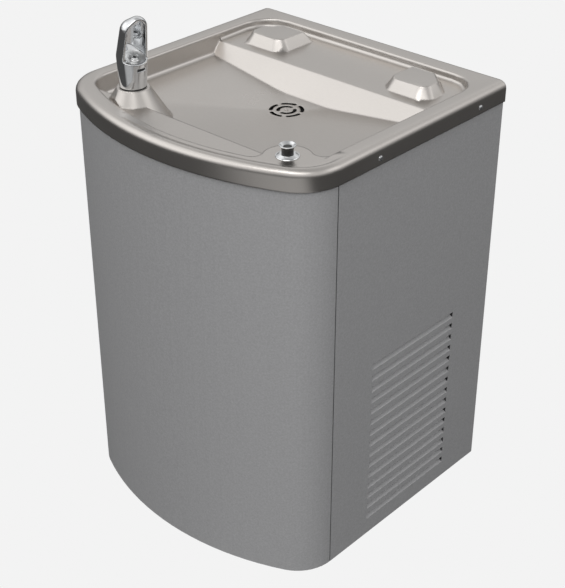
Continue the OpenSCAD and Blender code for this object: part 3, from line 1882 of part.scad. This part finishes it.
module wiring_leads() {
  top_z = box_z - box_h;
  motor_x = box_x + hem_w / 2;
  stat_lead_x = stat_x + hem_w / 2;
  comp_lead_z = comp_base_z - comp_h * lead_share;
  color("#2f2f33")
    from_rim() {
      tube_run([
        [motor_x, -power_lead_y, -top_z],
        [motor_x, -power_lead_y, -fan_axis_z],
        [motor_x, motor_r - fan_y, -fan_axis_z]],
        lead_r, fine_bend_r);
      tube_run([
        [stat_lead_x, -frame_front_y - stat_d / 2, -top_z],
        [stat_lead_x, -frame_front_y - stat_d / 2, -stat_z - stat_h]],
        lead_r, fine_bend_r);
      tube_run([
        [box_x, -power_lead_y, -comp_lead_z],
        [2 * riser_x, -power_lead_y, -comp_lead_z],
        [2 * riser_x, -comp_y, -comp_lead_z],
        [comp_r + cover_out - comp_x, -comp_y, -comp_lead_z]],
        lead_r, fine_bend_r);
    }
}

basin_top();
skirt_screws();
bubbler_body();
bubbler_nozzle();
bubbler_gasket();
bubbler_locknut();
button_cap();
button_neck();
button_bezel();
button_locknut();
valve_body();
valve_plunger();
valve_spring();
drain_gasket();
drain_cup();
drain_screw();
slip_nut();
waste_trap();
front_panel();
side_panel_left();
side_panel_right();
base_pan();
back_frame();
top_frame();
wall_hanger();
panel_screws();
compressor();
compressor_grommets();
compressor_bolts();
terminal_cover();
condenser();
fan_shroud();
fan_bracket();
fan_motor();
fan_shaft();
fan_blades();
filter_drier();
discharge_line();
capillary_tube();
suction_line();
cooling_tank();
evaporator_coil();
tank_insulation_front();
tank_insulation_back();
tank_shelf();
supply_tube();
chilled_tube();
bubbler_tube();
inlet_strainer();
strainer_bracket();
thermostat();
thermostat_stem();
junction_box();
junction_cover();
cord_bush();
wiring_leads();
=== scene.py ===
import json
import math

import bmesh
import bpy
from mathutils import Matrix, Vector


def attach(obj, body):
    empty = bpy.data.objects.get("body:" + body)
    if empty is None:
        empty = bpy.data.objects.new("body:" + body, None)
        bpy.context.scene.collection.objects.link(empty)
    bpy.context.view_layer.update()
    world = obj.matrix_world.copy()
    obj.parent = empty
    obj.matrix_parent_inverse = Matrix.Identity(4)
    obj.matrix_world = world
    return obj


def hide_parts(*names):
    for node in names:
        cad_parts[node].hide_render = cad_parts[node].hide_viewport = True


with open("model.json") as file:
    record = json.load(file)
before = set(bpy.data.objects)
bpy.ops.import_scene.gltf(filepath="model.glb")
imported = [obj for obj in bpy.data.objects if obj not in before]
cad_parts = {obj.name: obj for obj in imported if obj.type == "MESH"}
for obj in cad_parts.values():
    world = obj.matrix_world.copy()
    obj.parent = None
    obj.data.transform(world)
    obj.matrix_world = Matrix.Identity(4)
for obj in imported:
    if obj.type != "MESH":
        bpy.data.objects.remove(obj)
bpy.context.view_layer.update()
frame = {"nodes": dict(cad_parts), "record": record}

MM = 0.001
# Where the fittings stand on the basin, in millimetres
FITTINGS_Y = -372.965
DRAIN = Vector((0, -198)) * MM
DRAIN_SLOTS_R = 27 * MM
# The front ledge lies just under the rim
LEDGE_Z = 77
PAPER = "#f3f3f3"


def linear(hex_colour):
    """An sRGB hex colour as the linear RGBA that a socket takes."""
    parts = [int(hex_colour[i:i + 2], 16) / 255 for i in (1, 3, 5)]
    return [c / 12.92 if c <= 0.04045 else ((c + 0.055) / 1.055) ** 2.4 for c in parts] + [1]


def add(tree, kind, sockets=(), **settings):
    """A node with its settings; sockets pairs an input with a value or with an output to link."""
    made = tree.nodes.new(kind)
    for key, value in settings.items():
        setattr(made, key, value)
    for key, value in dict(sockets).items():
        if isinstance(value, bpy.types.NodeSocket):
            tree.links.new(value, made.inputs[key])
        else:
            made.inputs[key].default_value = value
    return made


def ramp(tree, factor, stops):
    """A colour ramp through (position, hex) stops."""
    made = add(tree, "ShaderNodeValToRGB", {"Fac": factor})
    band = made.color_ramp
    while len(band.elements) < len(stops):
        band.elements.new(0.5)
    for element, (place, colour) in zip(band.elements, stops):
        element.position = place
        element.color = linear(colour)
    return made.outputs["Color"]


def span(tree, value, low, high, out_low, out_high):
    """A value mapped from one range to another, clamped."""
    return add(tree, "ShaderNodeMapRange", {
        "Value": value, "From Min": low, "From Max": high,
        "To Min": out_low, "To Max": out_high}).outputs["Result"]


def start_material(name, metallic=0.0, **principled):
    """A material with one Principled shader, and object coordinates in metres."""
    made = bpy.data.materials.new(name)
    made.use_nodes = True
    tree = made.node_tree
    tree.nodes.clear()
    shader = add(tree, "ShaderNodeBsdfPrincipled", {"Metallic": metallic, **principled})
    add(tree, "ShaderNodeOutputMaterial", {"Surface": shader.outputs["BSDF"]})
    place = add(tree, "ShaderNodeTexCoord").outputs["Object"]
    return made, tree, shader, place


def grain(tree, place, size_mm, stretch=(1, 1, 1), detail=3.0, roughness=0.55):
    """Noise whose lumps are about size_mm across, longer along a stretched axis."""
    scaled = add(tree, "ShaderNodeMapping", {
        "Vector": place, "Scale": [1 / s for s in stretch]}).outputs["Vector"]
    return add(tree, "ShaderNodeTexNoise", {
        "Vector": scaled, "Scale": 1 / (size_mm * MM), "Detail": detail,
        "Roughness": roughness}).outputs["Fac"]


def link(tree, value, shader, socket):
    """Feeds a value to a shader's socket."""
    tree.links.new(value, shader.inputs[socket])


def relief(tree, shader, height, depth_mm, strength=1.0, rolled_mm=0.0):
    """Bump of a real depth from a 0 to 1 height, over edges that a press rolled to a radius."""
    bump = add(tree, "ShaderNodeBump", {
        "Height": height, "Distance": depth_mm * MM, "Strength": strength})
    if rolled_mm:
        edge = add(tree, "ShaderNodeBevel", {"Radius": rolled_mm * MM}, samples=8)
        tree.links.new(edge.outputs["Normal"], bump.inputs["Normal"])
    link(tree, bump.outputs["Normal"], shader, "Normal")


def value_ramp(tree, factor, stops):
    """A smooth curve through (position, value) stops, for values that may pass 1."""
    top = max(value for _, value in stops)
    made = add(tree, "ShaderNodeValToRGB", {"Fac": factor})
    band = made.color_ramp
    band.interpolation = "EASE"
    while len(band.elements) < len(stops):
        band.elements.new(0.5)
    for element, (place, value) in zip(band.elements, stops):
        element.position = place
        element.color = (value / top, value / top, value / top, 1)
    return add(tree, "ShaderNodeMath", {0: made.outputs["Color"], 1: top}, operation="MULTIPLY").outputs[0]


def glow_toward(tree, way, toward, outer, inner, strength):
    """A soft disc of light round a direction, from its outer to its inner angle in degrees."""
    near = add(tree, "ShaderNodeVectorMath", {0: way, 1: toward}, operation="DOT_PRODUCT").outputs["Value"]
    return add(tree, "ShaderNodeMapRange", {
        "Value": near, "From Min": math.cos(math.radians(outer)), "From Max": math.cos(math.radians(inner)),
        "To Min": 0, "To Max": strength}, interpolation_type="SMOOTHSTEP").outputs["Result"]


def total(tree, values):
    """The sum of several values."""
    result = values[0]
    for value in values[1:]:
        result = add(tree, "ShaderNodeMath", {0: result, 1: value}, operation="ADD").outputs[0]
    return result


def unit(*parts):
    """A direction of length 1."""
    return Vector(parts).normalized()


def softbox(name, place, target, side, power):
    """A square white studio lamp that looks at a point, and that shiny metal doesn't mirror."""
    lamp = bpy.data.lights.new(name, "AREA")
    lamp.shape = "RECTANGLE"
    lamp.size = lamp.size_y = side
    lamp.energy = power
    made = bpy.data.objects.new(name, lamp)
    bpy.context.scene.collection.objects.link(made)
    made.visible_glossy = False
    made.location = place
    made.rotation_euler = (Vector(target) - Vector(place)).to_track_quat("-Z", "Y").to_euler()
    return made


def satin_stainless():
    """Stamped 304 stainless with a satin polish: fine short grain and soft, wide reflections."""
    made, tree, shader, place = start_material("satin_polished_stainless_steel", 1.0)
    polish = grain(tree, place, 0.5, (14, 1, 1))
    cloud = grain(tree, place, 90)
    tone = add(tree, "ShaderNodeMix", {
        "Factor": polish, "A": linear("#bdb8b3"), "B": linear("#cbc7c3")}, data_type="RGBA")
    link(tree, tone.outputs["Result"], shader, "Base Color")
    link(tree, span(tree, cloud, 0.3, 0.7, 0.27, 0.33), shader, "Roughness")
    relief(tree, shader, polish, 0.012, 0.5, rolled_mm=3)
    return made


def chrome_plate():
    """Cast brass under bright chrome: a mirror with the faint waviness of a hand-polished casting."""
    made, tree, shader, place = start_material("chrome_plated_casting", 1.0)
    wave = grain(tree, place, 9, detail=1.0)
    link(tree, ramp(tree, wave, [(0.0, "#d6d8da"), (1.0, "#e4e5e6")]), shader, "Base Color")
    link(tree, span(tree, wave, 0.2, 0.8, 0.05, 0.09), shader, "Roughness")
    relief(tree, shader, wave, 0.05, 0.35)
    return made


def textured_grey():
    """Grey vinyl-clad sheet steel: a fine pebbled film with a dull sheen and small light flecks."""
    made, tree, shader, place = start_material("vinyl_clad_grey_steel_sheet")
    pebble = grain(tree, place, 1.1, detail=4.0)
    fleck = grain(tree, place, 2.6, detail=5.0, roughness=0.7)
    tone = ramp(tree, fleck, [(0.3, "#828283"), (0.5, "#8a8a8b"), (0.7, "#929293")])
    link(tree, tone, shader, "Base Color")
    link(tree, span(tree, pebble, 0.3, 0.7, 0.48, 0.62), shader, "Roughness")
    relief(tree, shader, pebble, 0.06, 0.4)
    return made


def zinc_sheet():
    """Hot-dip galvanised sheet: flat grey crystals a centimetre across, each of its own brightness."""
    made, tree, shader, place = start_material("galvanised_sheet_steel", 1.0)
    spangle = add(tree, "ShaderNodeTexVoronoi", {"Vector": place, "Scale": 1 / (11 * MM)})
    level = add(tree, "ShaderNodeSeparateColor", {"Color": spangle.outputs["Color"]}).outputs["Red"]
    tone = ramp(tree, level, [(0.0, "#9b9fa2"), (0.5, "#abaeb0"), (1.0, "#bdbfc0")])
    link(tree, tone, shader, "Base Color")
    link(tree, span(tree, level, 0, 1, 0.42, 0.6), shader, "Roughness")
    relief(tree, shader, grain(tree, place, 1.5), 0.02, 0.4)
    return made


def metal(name, dark, light, rough_low, rough_high, size_mm, stretch=(1, 1, 1), depth_mm=0.01):
    """A worked metal: tarnish or tool marks of a real size over one alloy colour."""
    made, tree, shader, place = start_material(name, 1.0)
    mark = grain(tree, place, size_mm, stretch)
    link(tree, ramp(tree, mark, [(0.3, dark), (0.7, light)]), shader, "Base Color")
    link(tree, span(tree, mark, 0.3, 0.7, rough_low, rough_high), shader, "Roughness")
    relief(tree, shader, mark, depth_mm, 0.5)
    return made


def moulded(name, dark, light, rough_low, rough_high, size_mm, depth_mm, **principled):
    """A moulded or cast skin: small pits and a slow change of shade."""
    made, tree, shader, place = start_material(name, 0.0, **principled)
    pit = grain(tree, place, size_mm, detail=4.0)
    shade = grain(tree, place, size_mm * 18)
    link(tree, ramp(tree, shade, [(0.3, dark), (0.7, light)]), shader, "Base Color")
    link(tree, span(tree, pit, 0.3, 0.7, rough_low, rough_high), shader, "Roughness")
    relief(tree, shader, pit, depth_mm, 0.6)
    return made


finishes = {
    "stainless": satin_stainless(),
    "chrome": chrome_plate(),
    "panel_grey": textured_grey(),
    "galvanised": zinc_sheet(),
    # Drawn brass tube under chrome: duller than the casting, with marks along its length
    "plated_tube": metal("chrome_plated_brass_tube", "#b9bbbd", "#d2d4d6", 0.1, 0.2, 3),
    # Turned and cast brass, a little tarnished
    "brass": metal("machined_brass", "#a8873f", "#c8aa62", 0.25, 0.42, 4, depth_mm=0.02),
    # Zinc-plated steel, bright with a grey bloom
    "bright_steel": metal("zinc_plated_steel", "#a9abad", "#cbcccd", 0.22, 0.38, 2),
    # Bare mill-finish aluminium, dusty between the fins
    "coil_aluminium": metal("mill_finish_aluminium", "#9c9ea0", "#c2c4c5", 0.35, 0.55, 5),
    # Soft-drawn copper tube with brown heat stains
    "copper": metal("drawn_copper_tube", "#8e5a3c", "#c98158", 0.22, 0.45, 12, depth_mm=0.02),
    "button_black": moulded("moulded_black_acetal", "#0d0d0d", "#161616", 0.3, 0.42, 0.6, 0.01),
    "black_rubber": moulded("moulded_nitrile_rubber", "#121212", "#1e1e1e", 0.6, 0.8, 0.8, 0.04),
    "black_enamel": moulded("baked_black_enamel", "#0e0e0f", "#17171a", 0.2, 0.34, 1.6, 0.03),
    "dark_plastic": moulded("moulded_dark_polyamide", "#1b1c1e", "#27282b", 0.45, 0.6, 0.7, 0.02),
    "fan_blue": moulded("moulded_polypropylene", "#31414f", "#3d4e5d", 0.35, 0.5, 0.8, 0.02),
    "foam": moulded("expanded_polystyrene_foam", "#dcd8ca", "#ece9df", 0.7, 0.9, 2.6, 0.35),
    "water_tube": moulded("extruded_polyethylene_tube", "#c9ced0", "#dde1e3", 0.28, 0.4, 1.5, 0.01),
    "cream_plastic": moulded("moulded_phenolic", "#b9b29c", "#cac4b1", 0.4, 0.55, 0.8, 0.02),
    "lead_black": moulded("pvc_sheathed_lead", "#151516", "#202022", 0.45, 0.6, 0.9, 0.02),
}
for name, material in finishes.items():
    material["slot"] = name
# The same plated brass inside the drain, painted black as the shade inside the drain and its slots
drain_painted_shade = moulded("drain_brass_painted_shade", "#060606", "#0c0b0a", 0.5, 0.7, 1.2, 0.05)
drain_painted_shade["slot"] = "plated_tube"
slot_of = {entry["node"]: entry["material_slot"] for entry in frame["record"]["subparts"]}
# Every part wears its slot's finish; the drain cup wears the black painted shade instead
for name, part in frame["nodes"].items():
    for index in range(len(part.material_slots)):
        part.material_slots[index].material = drain_painted_shade if name == "drain_cup" else finishes[slot_of[name]]


def finished(name, body, slot, mesh, angle=32):
    """An object of a finished mesh that rides on a body and wears a slot's finish."""
    made = bpy.data.objects.new(name, mesh)
    bpy.context.scene.collection.objects.link(made)
    mesh.materials.clear()
    mesh.materials.append(finishes[slot])
    mesh.shade_smooth()
    mesh.set_sharp_from_angle(angle=math.radians(angle))
    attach(made, body)
    return made


def smooth_copy(node, angle=32, work=None):
    """A CAD node again, its corners merged, worked on, and its curved faces shaded smooth."""
    shape = bmesh.new()
    shape.from_mesh(frame["nodes"][node].data)
    bmesh.ops.remove_doubles(shape, verts=shape.verts, dist=0.01 * MM)
    bmesh.ops.dissolve_degenerate(shape, dist=0.15 * MM, edges=shape.edges)
    if work:
        work(shape)
    mesh = bpy.data.meshes.new("smooth_" + node)
    shape.faces.index_update()
    dark = [face.index for face in shape.faces if face.material_index]
    shape.to_mesh(mesh)
    shape.free()
    if "custom_normal" in mesh.attributes:
        mesh.attributes.remove(mesh.attributes["custom_normal"])
    made = finished("smooth_" + node, "cabinet", slot_of[node], mesh, angle)
    weigh = made.modifiers.new("weighted_normals", "WEIGHTED_NORMAL")
    weigh.keep_sharp = True
    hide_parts(node)
    # Faces marked as the drain slots' walls take the black painted shade
    if dark:
        mesh.materials.append(drain_painted_shade)
        for index in dark:
            mesh.polygons[index].material_index = 1
    return made


def edges_within(shape, across, forward, height):
    """Edges with both ends in a box of millimetre ranges; across counts from the middle to either side."""
    def inside(place):
        return all(low * MM < value < high * MM for value, (low, high) in zip(
            (abs(place.x), -place.y, place.z), (across, forward, height)))
    return [edge for edge in shape.edges if all(inside(vert.co) for vert in edge.verts)]


def bend(edge):
    """The angle between an edge's two faces in degrees, or nothing at a border."""
    return math.degrees(edge.calc_face_angle()) if edge.is_manifold else 0


def roll_over(shape, edges, radius_mm, segments):
    """Sharp edges rounded to a radius, as a press or a tumbler leaves them."""
    bmesh.ops.bevel(shape, geom=edges, offset=radius_mm * MM, offset_type="OFFSET", affect="EDGES",
                    segments=segments, profile=0.5, material=-1, clamp_overlap=True)


def stamped_basin(shape):
    """Rounds the deck pads' corners and the ledge's step, and gives the walls of the drain's slots the
    black of painted shade.
    """
    # The deck pads lie 75 to 190 mm to either side and up to 112 mm from the wall
    pads = edges_within(shape, (75, 190), (25, 100), (66, 84))
    bmesh.ops.dissolve_limit(shape, angle_limit=math.radians(0.5), use_dissolve_boundaries=False,
                             verts=list({vert for edge in pads for vert in edge.verts}), edges=pads)
    corners = [edge for edge in edges_within(shape, (75, 190), (40, 112), (66, 84))
               if abs(edge.verts[0].co.z - edge.verts[1].co.z) > 4 * MM and bend(edge) > 18]
    roll_over(shape, corners, 5, 6)
    # The ledge follows the bowed front at one level; its step down to the bowl is a wide roll
    level = (LEDGE_Z - 0.3, LEDGE_Z + 0.3)
    flat = [edge for edge in edges_within(shape, (-1, 240), (340, 460), level)
            if edge.is_manifold and bend(edge) < 0.3]
    bmesh.ops.dissolve_edges(shape, edges=flat, use_verts=False, use_face_split=False)
    step = [edge for edge in edges_within(shape, (-1, 196), (386, 460), level) if bend(edge) > 8]
    roll_over(shape, step, 7, 5)
    # The walls of the drain's slots take the black painted shade
    for face in shape.faces:
        if (face.calc_center_median().xy - DRAIN).length < DRAIN_SLOTS_R and abs(face.normal.z) < 0.6:
            face.material_index = 1


def polished_casting(node, grid_mm, passes):
    """A CAD node again as a cast and polished skin: an even fine mesh with every edge a little rounded."""
    made = smooth_copy(node, 180)
    made.modifiers.clear()
    skin = made.modifiers.new("even_skin", "REMESH")
    skin.mode = "VOXEL"
    skin.voxel_size = grid_mm * MM
    skin.use_smooth_shade = True
    soft = made.modifiers.new("polish", "SMOOTH")
    soft.factor = 0.5
    soft.iterations = passes
    return made


def placed(name, node, body, slot, shape, where, angle=32):
    """A new piece from its bmesh, put in its place; it stands in for a CAD node where one is named."""
    bmesh.ops.recalc_face_normals(shape, faces=shape.faces)
    bmesh.ops.transform(shape, matrix=where, verts=shape.verts)
    mesh = bpy.data.meshes.new(name)
    shape.to_mesh(mesh)
    shape.free()
    made = finished(name, body, slot, mesh, angle)
    if node:
        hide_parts(node)
    return made


def turned(name, node, body, slot, profile, where):
    """A piece turned on a lathe from a profile of (radius, height) in millimetres."""
    shape = bmesh.new()
    corners = [shape.verts.new((r * MM, 0, z * MM)) for r, z in profile]
    edges = [shape.edges.new(pair) for pair in zip(corners, corners[1:])]
    bmesh.ops.spin(shape, geom=corners + edges, axis=(0, 0, 1), cent=(0, 0, 0), steps=64,
                   angle=math.tau, use_merge=True)
    bmesh.ops.remove_doubles(shape, verts=shape.verts, dist=0.01 * MM)
    return placed(name, node, body, slot, shape, where)


def rounded_bar(width, depth, height, corner):
    """A bar about its own middle, with every edge rounded, in millimetres."""
    shape = bmesh.new()
    bmesh.ops.create_cube(shape, size=1, matrix=Matrix.Diagonal((width * MM, depth * MM, height * MM, 1)))
    roll_over(shape, shape.edges[:], corner, 3)
    return shape


def at(x, y, z):
    """A place in millimetres."""
    return Matrix.Translation(Vector((x, y, z)) * MM)


smooth_copy("basin_top", work=stamped_basin)
polished_casting("bubbler_body", 0.6, 8)
# The bubbler stands on its pedestal and looks 18 degrees to the front; its cup leans 23.5 degrees
bubbler = at(-118, FITTINGS_Y, 91) @ Matrix.Rotation(math.radians(-18), 4, "Z")
cup = bubbler @ at(1.5, 3.7, 41.8) @ Matrix.Rotation(math.radians(23.5), 4, "Y")
# The cup's dish round its raised outlet
dish = turned("outlet_dish", "bubbler_nozzle", "cabinet", "chrome", [
    (2.2, -14), (2.2, -1.4), (2.5, -0.9), (3.2, -0.7), (4.4, -0.8), (5.2, -1.3), (5.7, -2.2), (6.1, -2.9),
    (6.8, -3.3), (7.6, -3.4), (10.5, -2.9), (13, -1.9), (14.3, -1.2), (14.3, -2.6), (6, -5), (5.5, -14),
    (2.2, -14)], cup)
# The dish is ground before it is plated, so it is satin beside the hood's mirror; its paler base colour is
# painted light that makes the dish read brighter
satin_chrome_painted_light = metal("satin_chrome_plate_painted_light", "#eceded", "#f8f8f8", 0.3, 0.38, 3)
satin_chrome_painted_light["slot"] = "chrome"
dish.data.materials[0] = satin_chrome_painted_light
# The outlet's bore, and the overflow slot in the foot, open on the dark inside: dark pieces there are
# painted shade
turned("outlet_shadow", None, "cabinet", "dark_plastic", [
    (0, -5), (2.15, -5), (2.15, -1.9), (0, -1.9)], cup)

# A dark bar in the overflow slot is painted shade
placed("slot_shadow", None, "cabinet", "dark_plastic", rounded_bar(2.2, 11.8, 2.8, 0.8),
       bubbler @ Matrix.Rotation(math.radians(21), 4, "Z") @ at(16.8, 0, 27))

# A black strip in the seam between the front and each side panel, a little below their faces, is painted
# shade for the dark gap
for side in (-1, 1):
    placed("seam_shade_strip_" + ("left", "right")[side > 0], None, "cabinet", "black_rubber",
           rounded_bar(2, 1.7, 621, 0.3), at(side * 223.9, -351.37, -245))

button = at(160.5, FITTINGS_Y, LEDGE_Z)
# The cap: a rolled rim round a dished thumb face, over a cone that runs down to the neck
turned("dished_cap", "button_cap", "button", "chrome", [
    (0, 12.0), (3.4, 12.1), (6.2, 12.7), (8.2, 14.1), (9.2, 15.0), (10.0, 15.5), (10.7, 15.3), (11.0, 14.7),
    (10.8, 14.1), (10.2, 13.7), (8.9, 13.2), (8.2, 12.6), (0, 11.6)], button)
turned("bezel_washer", None, "cabinet", "chrome", [
    (12.0, 0.0), (15.2, 0.0), (15.4, 0.5), (14.9, 1.1), (14.0, 1.2), (13.2, 0.7), (12.0, 0.6)], button)
turned("cap_cone", None, "button", "button_black", [
    (0, 9), (7.7, 9), (7.9, 10.5), (8.6, 12.4), (8.0, 12.7), (0, 12.3)], button)

# The photograph's view, solved from the basin's and the cabinet's straight edges
SENSOR_MM = 36
FRAME_HEIGHT_PX = 588
FOCAL_PX = 1338.78
LOOKS_DOWN, TURNED_LEFT = 31.159, 42.417
camera = bpy.data.objects.new("camera", bpy.data.cameras.new("camera"))
bpy.context.scene.collection.objects.link(camera)
camera.location = (1.1585, -1.4744, 0.7784)
camera.rotation_euler = (math.radians(90 - LOOKS_DOWN), 0, math.radians(TURNED_LEFT))
camera.data.sensor_fit = "VERTICAL"
camera.data.sensor_height = SENSOR_MM
camera.data.lens = SENSOR_MM * FOCAL_PX / FRAME_HEIGHT_PX
camera.data.clip_end = 50
bpy.context.scene.camera = camera

# Broad high lamps for the dull panels only: the polished steel mirrors the painted surroundings
for name, place, power in [("front_fill", (0.45, -2.6, 1.6), 30), ("right_fill", (2.6, -0.6, 1.6), 31)]:
    softbox(name, place, (0, -0.3, -0.3), 1.2, power)
back_fill = softbox("back_fill", (-1.2, 2.4, 0.1), (0, 0, -0.3), 0.9, 5)
back_fill.data.spread = math.radians(60)

bpy.context.scene.view_settings.view_transform = "Standard"

# The surroundings that the metal mirrors, painted by direction: a dim floor, a brighter sky and soft
# windows, each from its outer to its inner angle in degrees. The camera sees pale paper instead.
world = bpy.data.worlds.new("studio")
bpy.context.scene.world = world
world.use_nodes = True
tree = world.node_tree
tree.nodes.clear()
way = add(tree, "ShaderNodeTexCoord").outputs["Generated"]
height = add(tree, "ShaderNodeSeparateXYZ", {"Vector": way}).outputs["Z"]
sky = value_ramp(tree, span(tree, height, -1, 1, 0, 1), [
    (0.0, 0.08), (0.46, 0.08), (0.55, 0.3), (0.7, 0.74), (0.78, 0.86), (0.9, 0.62), (1.0, 0.5)])
light = total(tree, [
    sky,
    glow_toward(tree, way, unit(-0.6, -0.5, 0.62), 42, 12, 0.7),
    glow_toward(tree, way, unit(0.05, -0.48, 0.87), 16, 6, 2.6),
    glow_toward(tree, way, unit(0.4, -0.4, 0.82), 18, 7, 1.4),
    glow_toward(tree, way, unit(0.62, 0.5, 0.6), 22, 8, 0.5),
    glow_toward(tree, way, unit(0.4, 1, -0.15), 36, 12, 0.12)])
ray = add(tree, "ShaderNodeLightPath").outputs["Is Camera Ray"]
glow = add(tree, "ShaderNodeBackground", {"Color": light, "Strength": 1.0})
backdrop = add(tree, "ShaderNodeBackground", {"Color": linear(PAPER), "Strength": 1.0})
both = add(tree, "ShaderNodeMixShader", {0: ray, 1: glow.outputs[0], 2: backdrop.outputs[0]})
add(tree, "ShaderNodeOutputWorld", {"Surface": both.outputs[0]})

# A floor that the camera sees as pale paper; in reflections it is dark but for its front
floor_mesh = bpy.data.meshes.new("floor")
shape = bmesh.new()
bmesh.ops.create_grid(shape, x_segments=1, y_segments=1, size=6, matrix=at(0, 0, -850))
shape.to_mesh(floor_mesh)
shape.free()
floor = bpy.data.objects.new("floor", floor_mesh)
bpy.context.scene.collection.objects.link(floor)
pale, tree, shader, place = start_material("pale_floor", Roughness=0.9)
flat_way = add(tree, "ShaderNodeVectorMath", {
    0: add(tree, "ShaderNodeVectorMath", {0: place, 1: (1, 1, 0)}, operation="MULTIPLY").outputs["Vector"]},
    operation="NORMALIZE").outputs["Vector"]
lit = total(tree, [glow_toward(tree, flat_way, unit(0.42, -0.9, 0), 40, 15, 0.4), 0.08])
mirrored = add(tree, "ShaderNodeEmission", {"Color": lit, "Strength": 1.0})
shine = add(tree, "ShaderNodeEmission", {"Color": linear(PAPER), "Strength": 1.0})
seen = add(tree, "ShaderNodeLightPath").outputs["Is Camera Ray"]
mixed = add(tree, "ShaderNodeMixShader", {0: seen, 1: mirrored.outputs[0], 2: shine.outputs[0]})
link(tree, mixed.outputs[0], next(n for n in tree.nodes if n.type == "OUTPUT_MATERIAL"), "Surface")
floor_mesh.materials.append(pale)
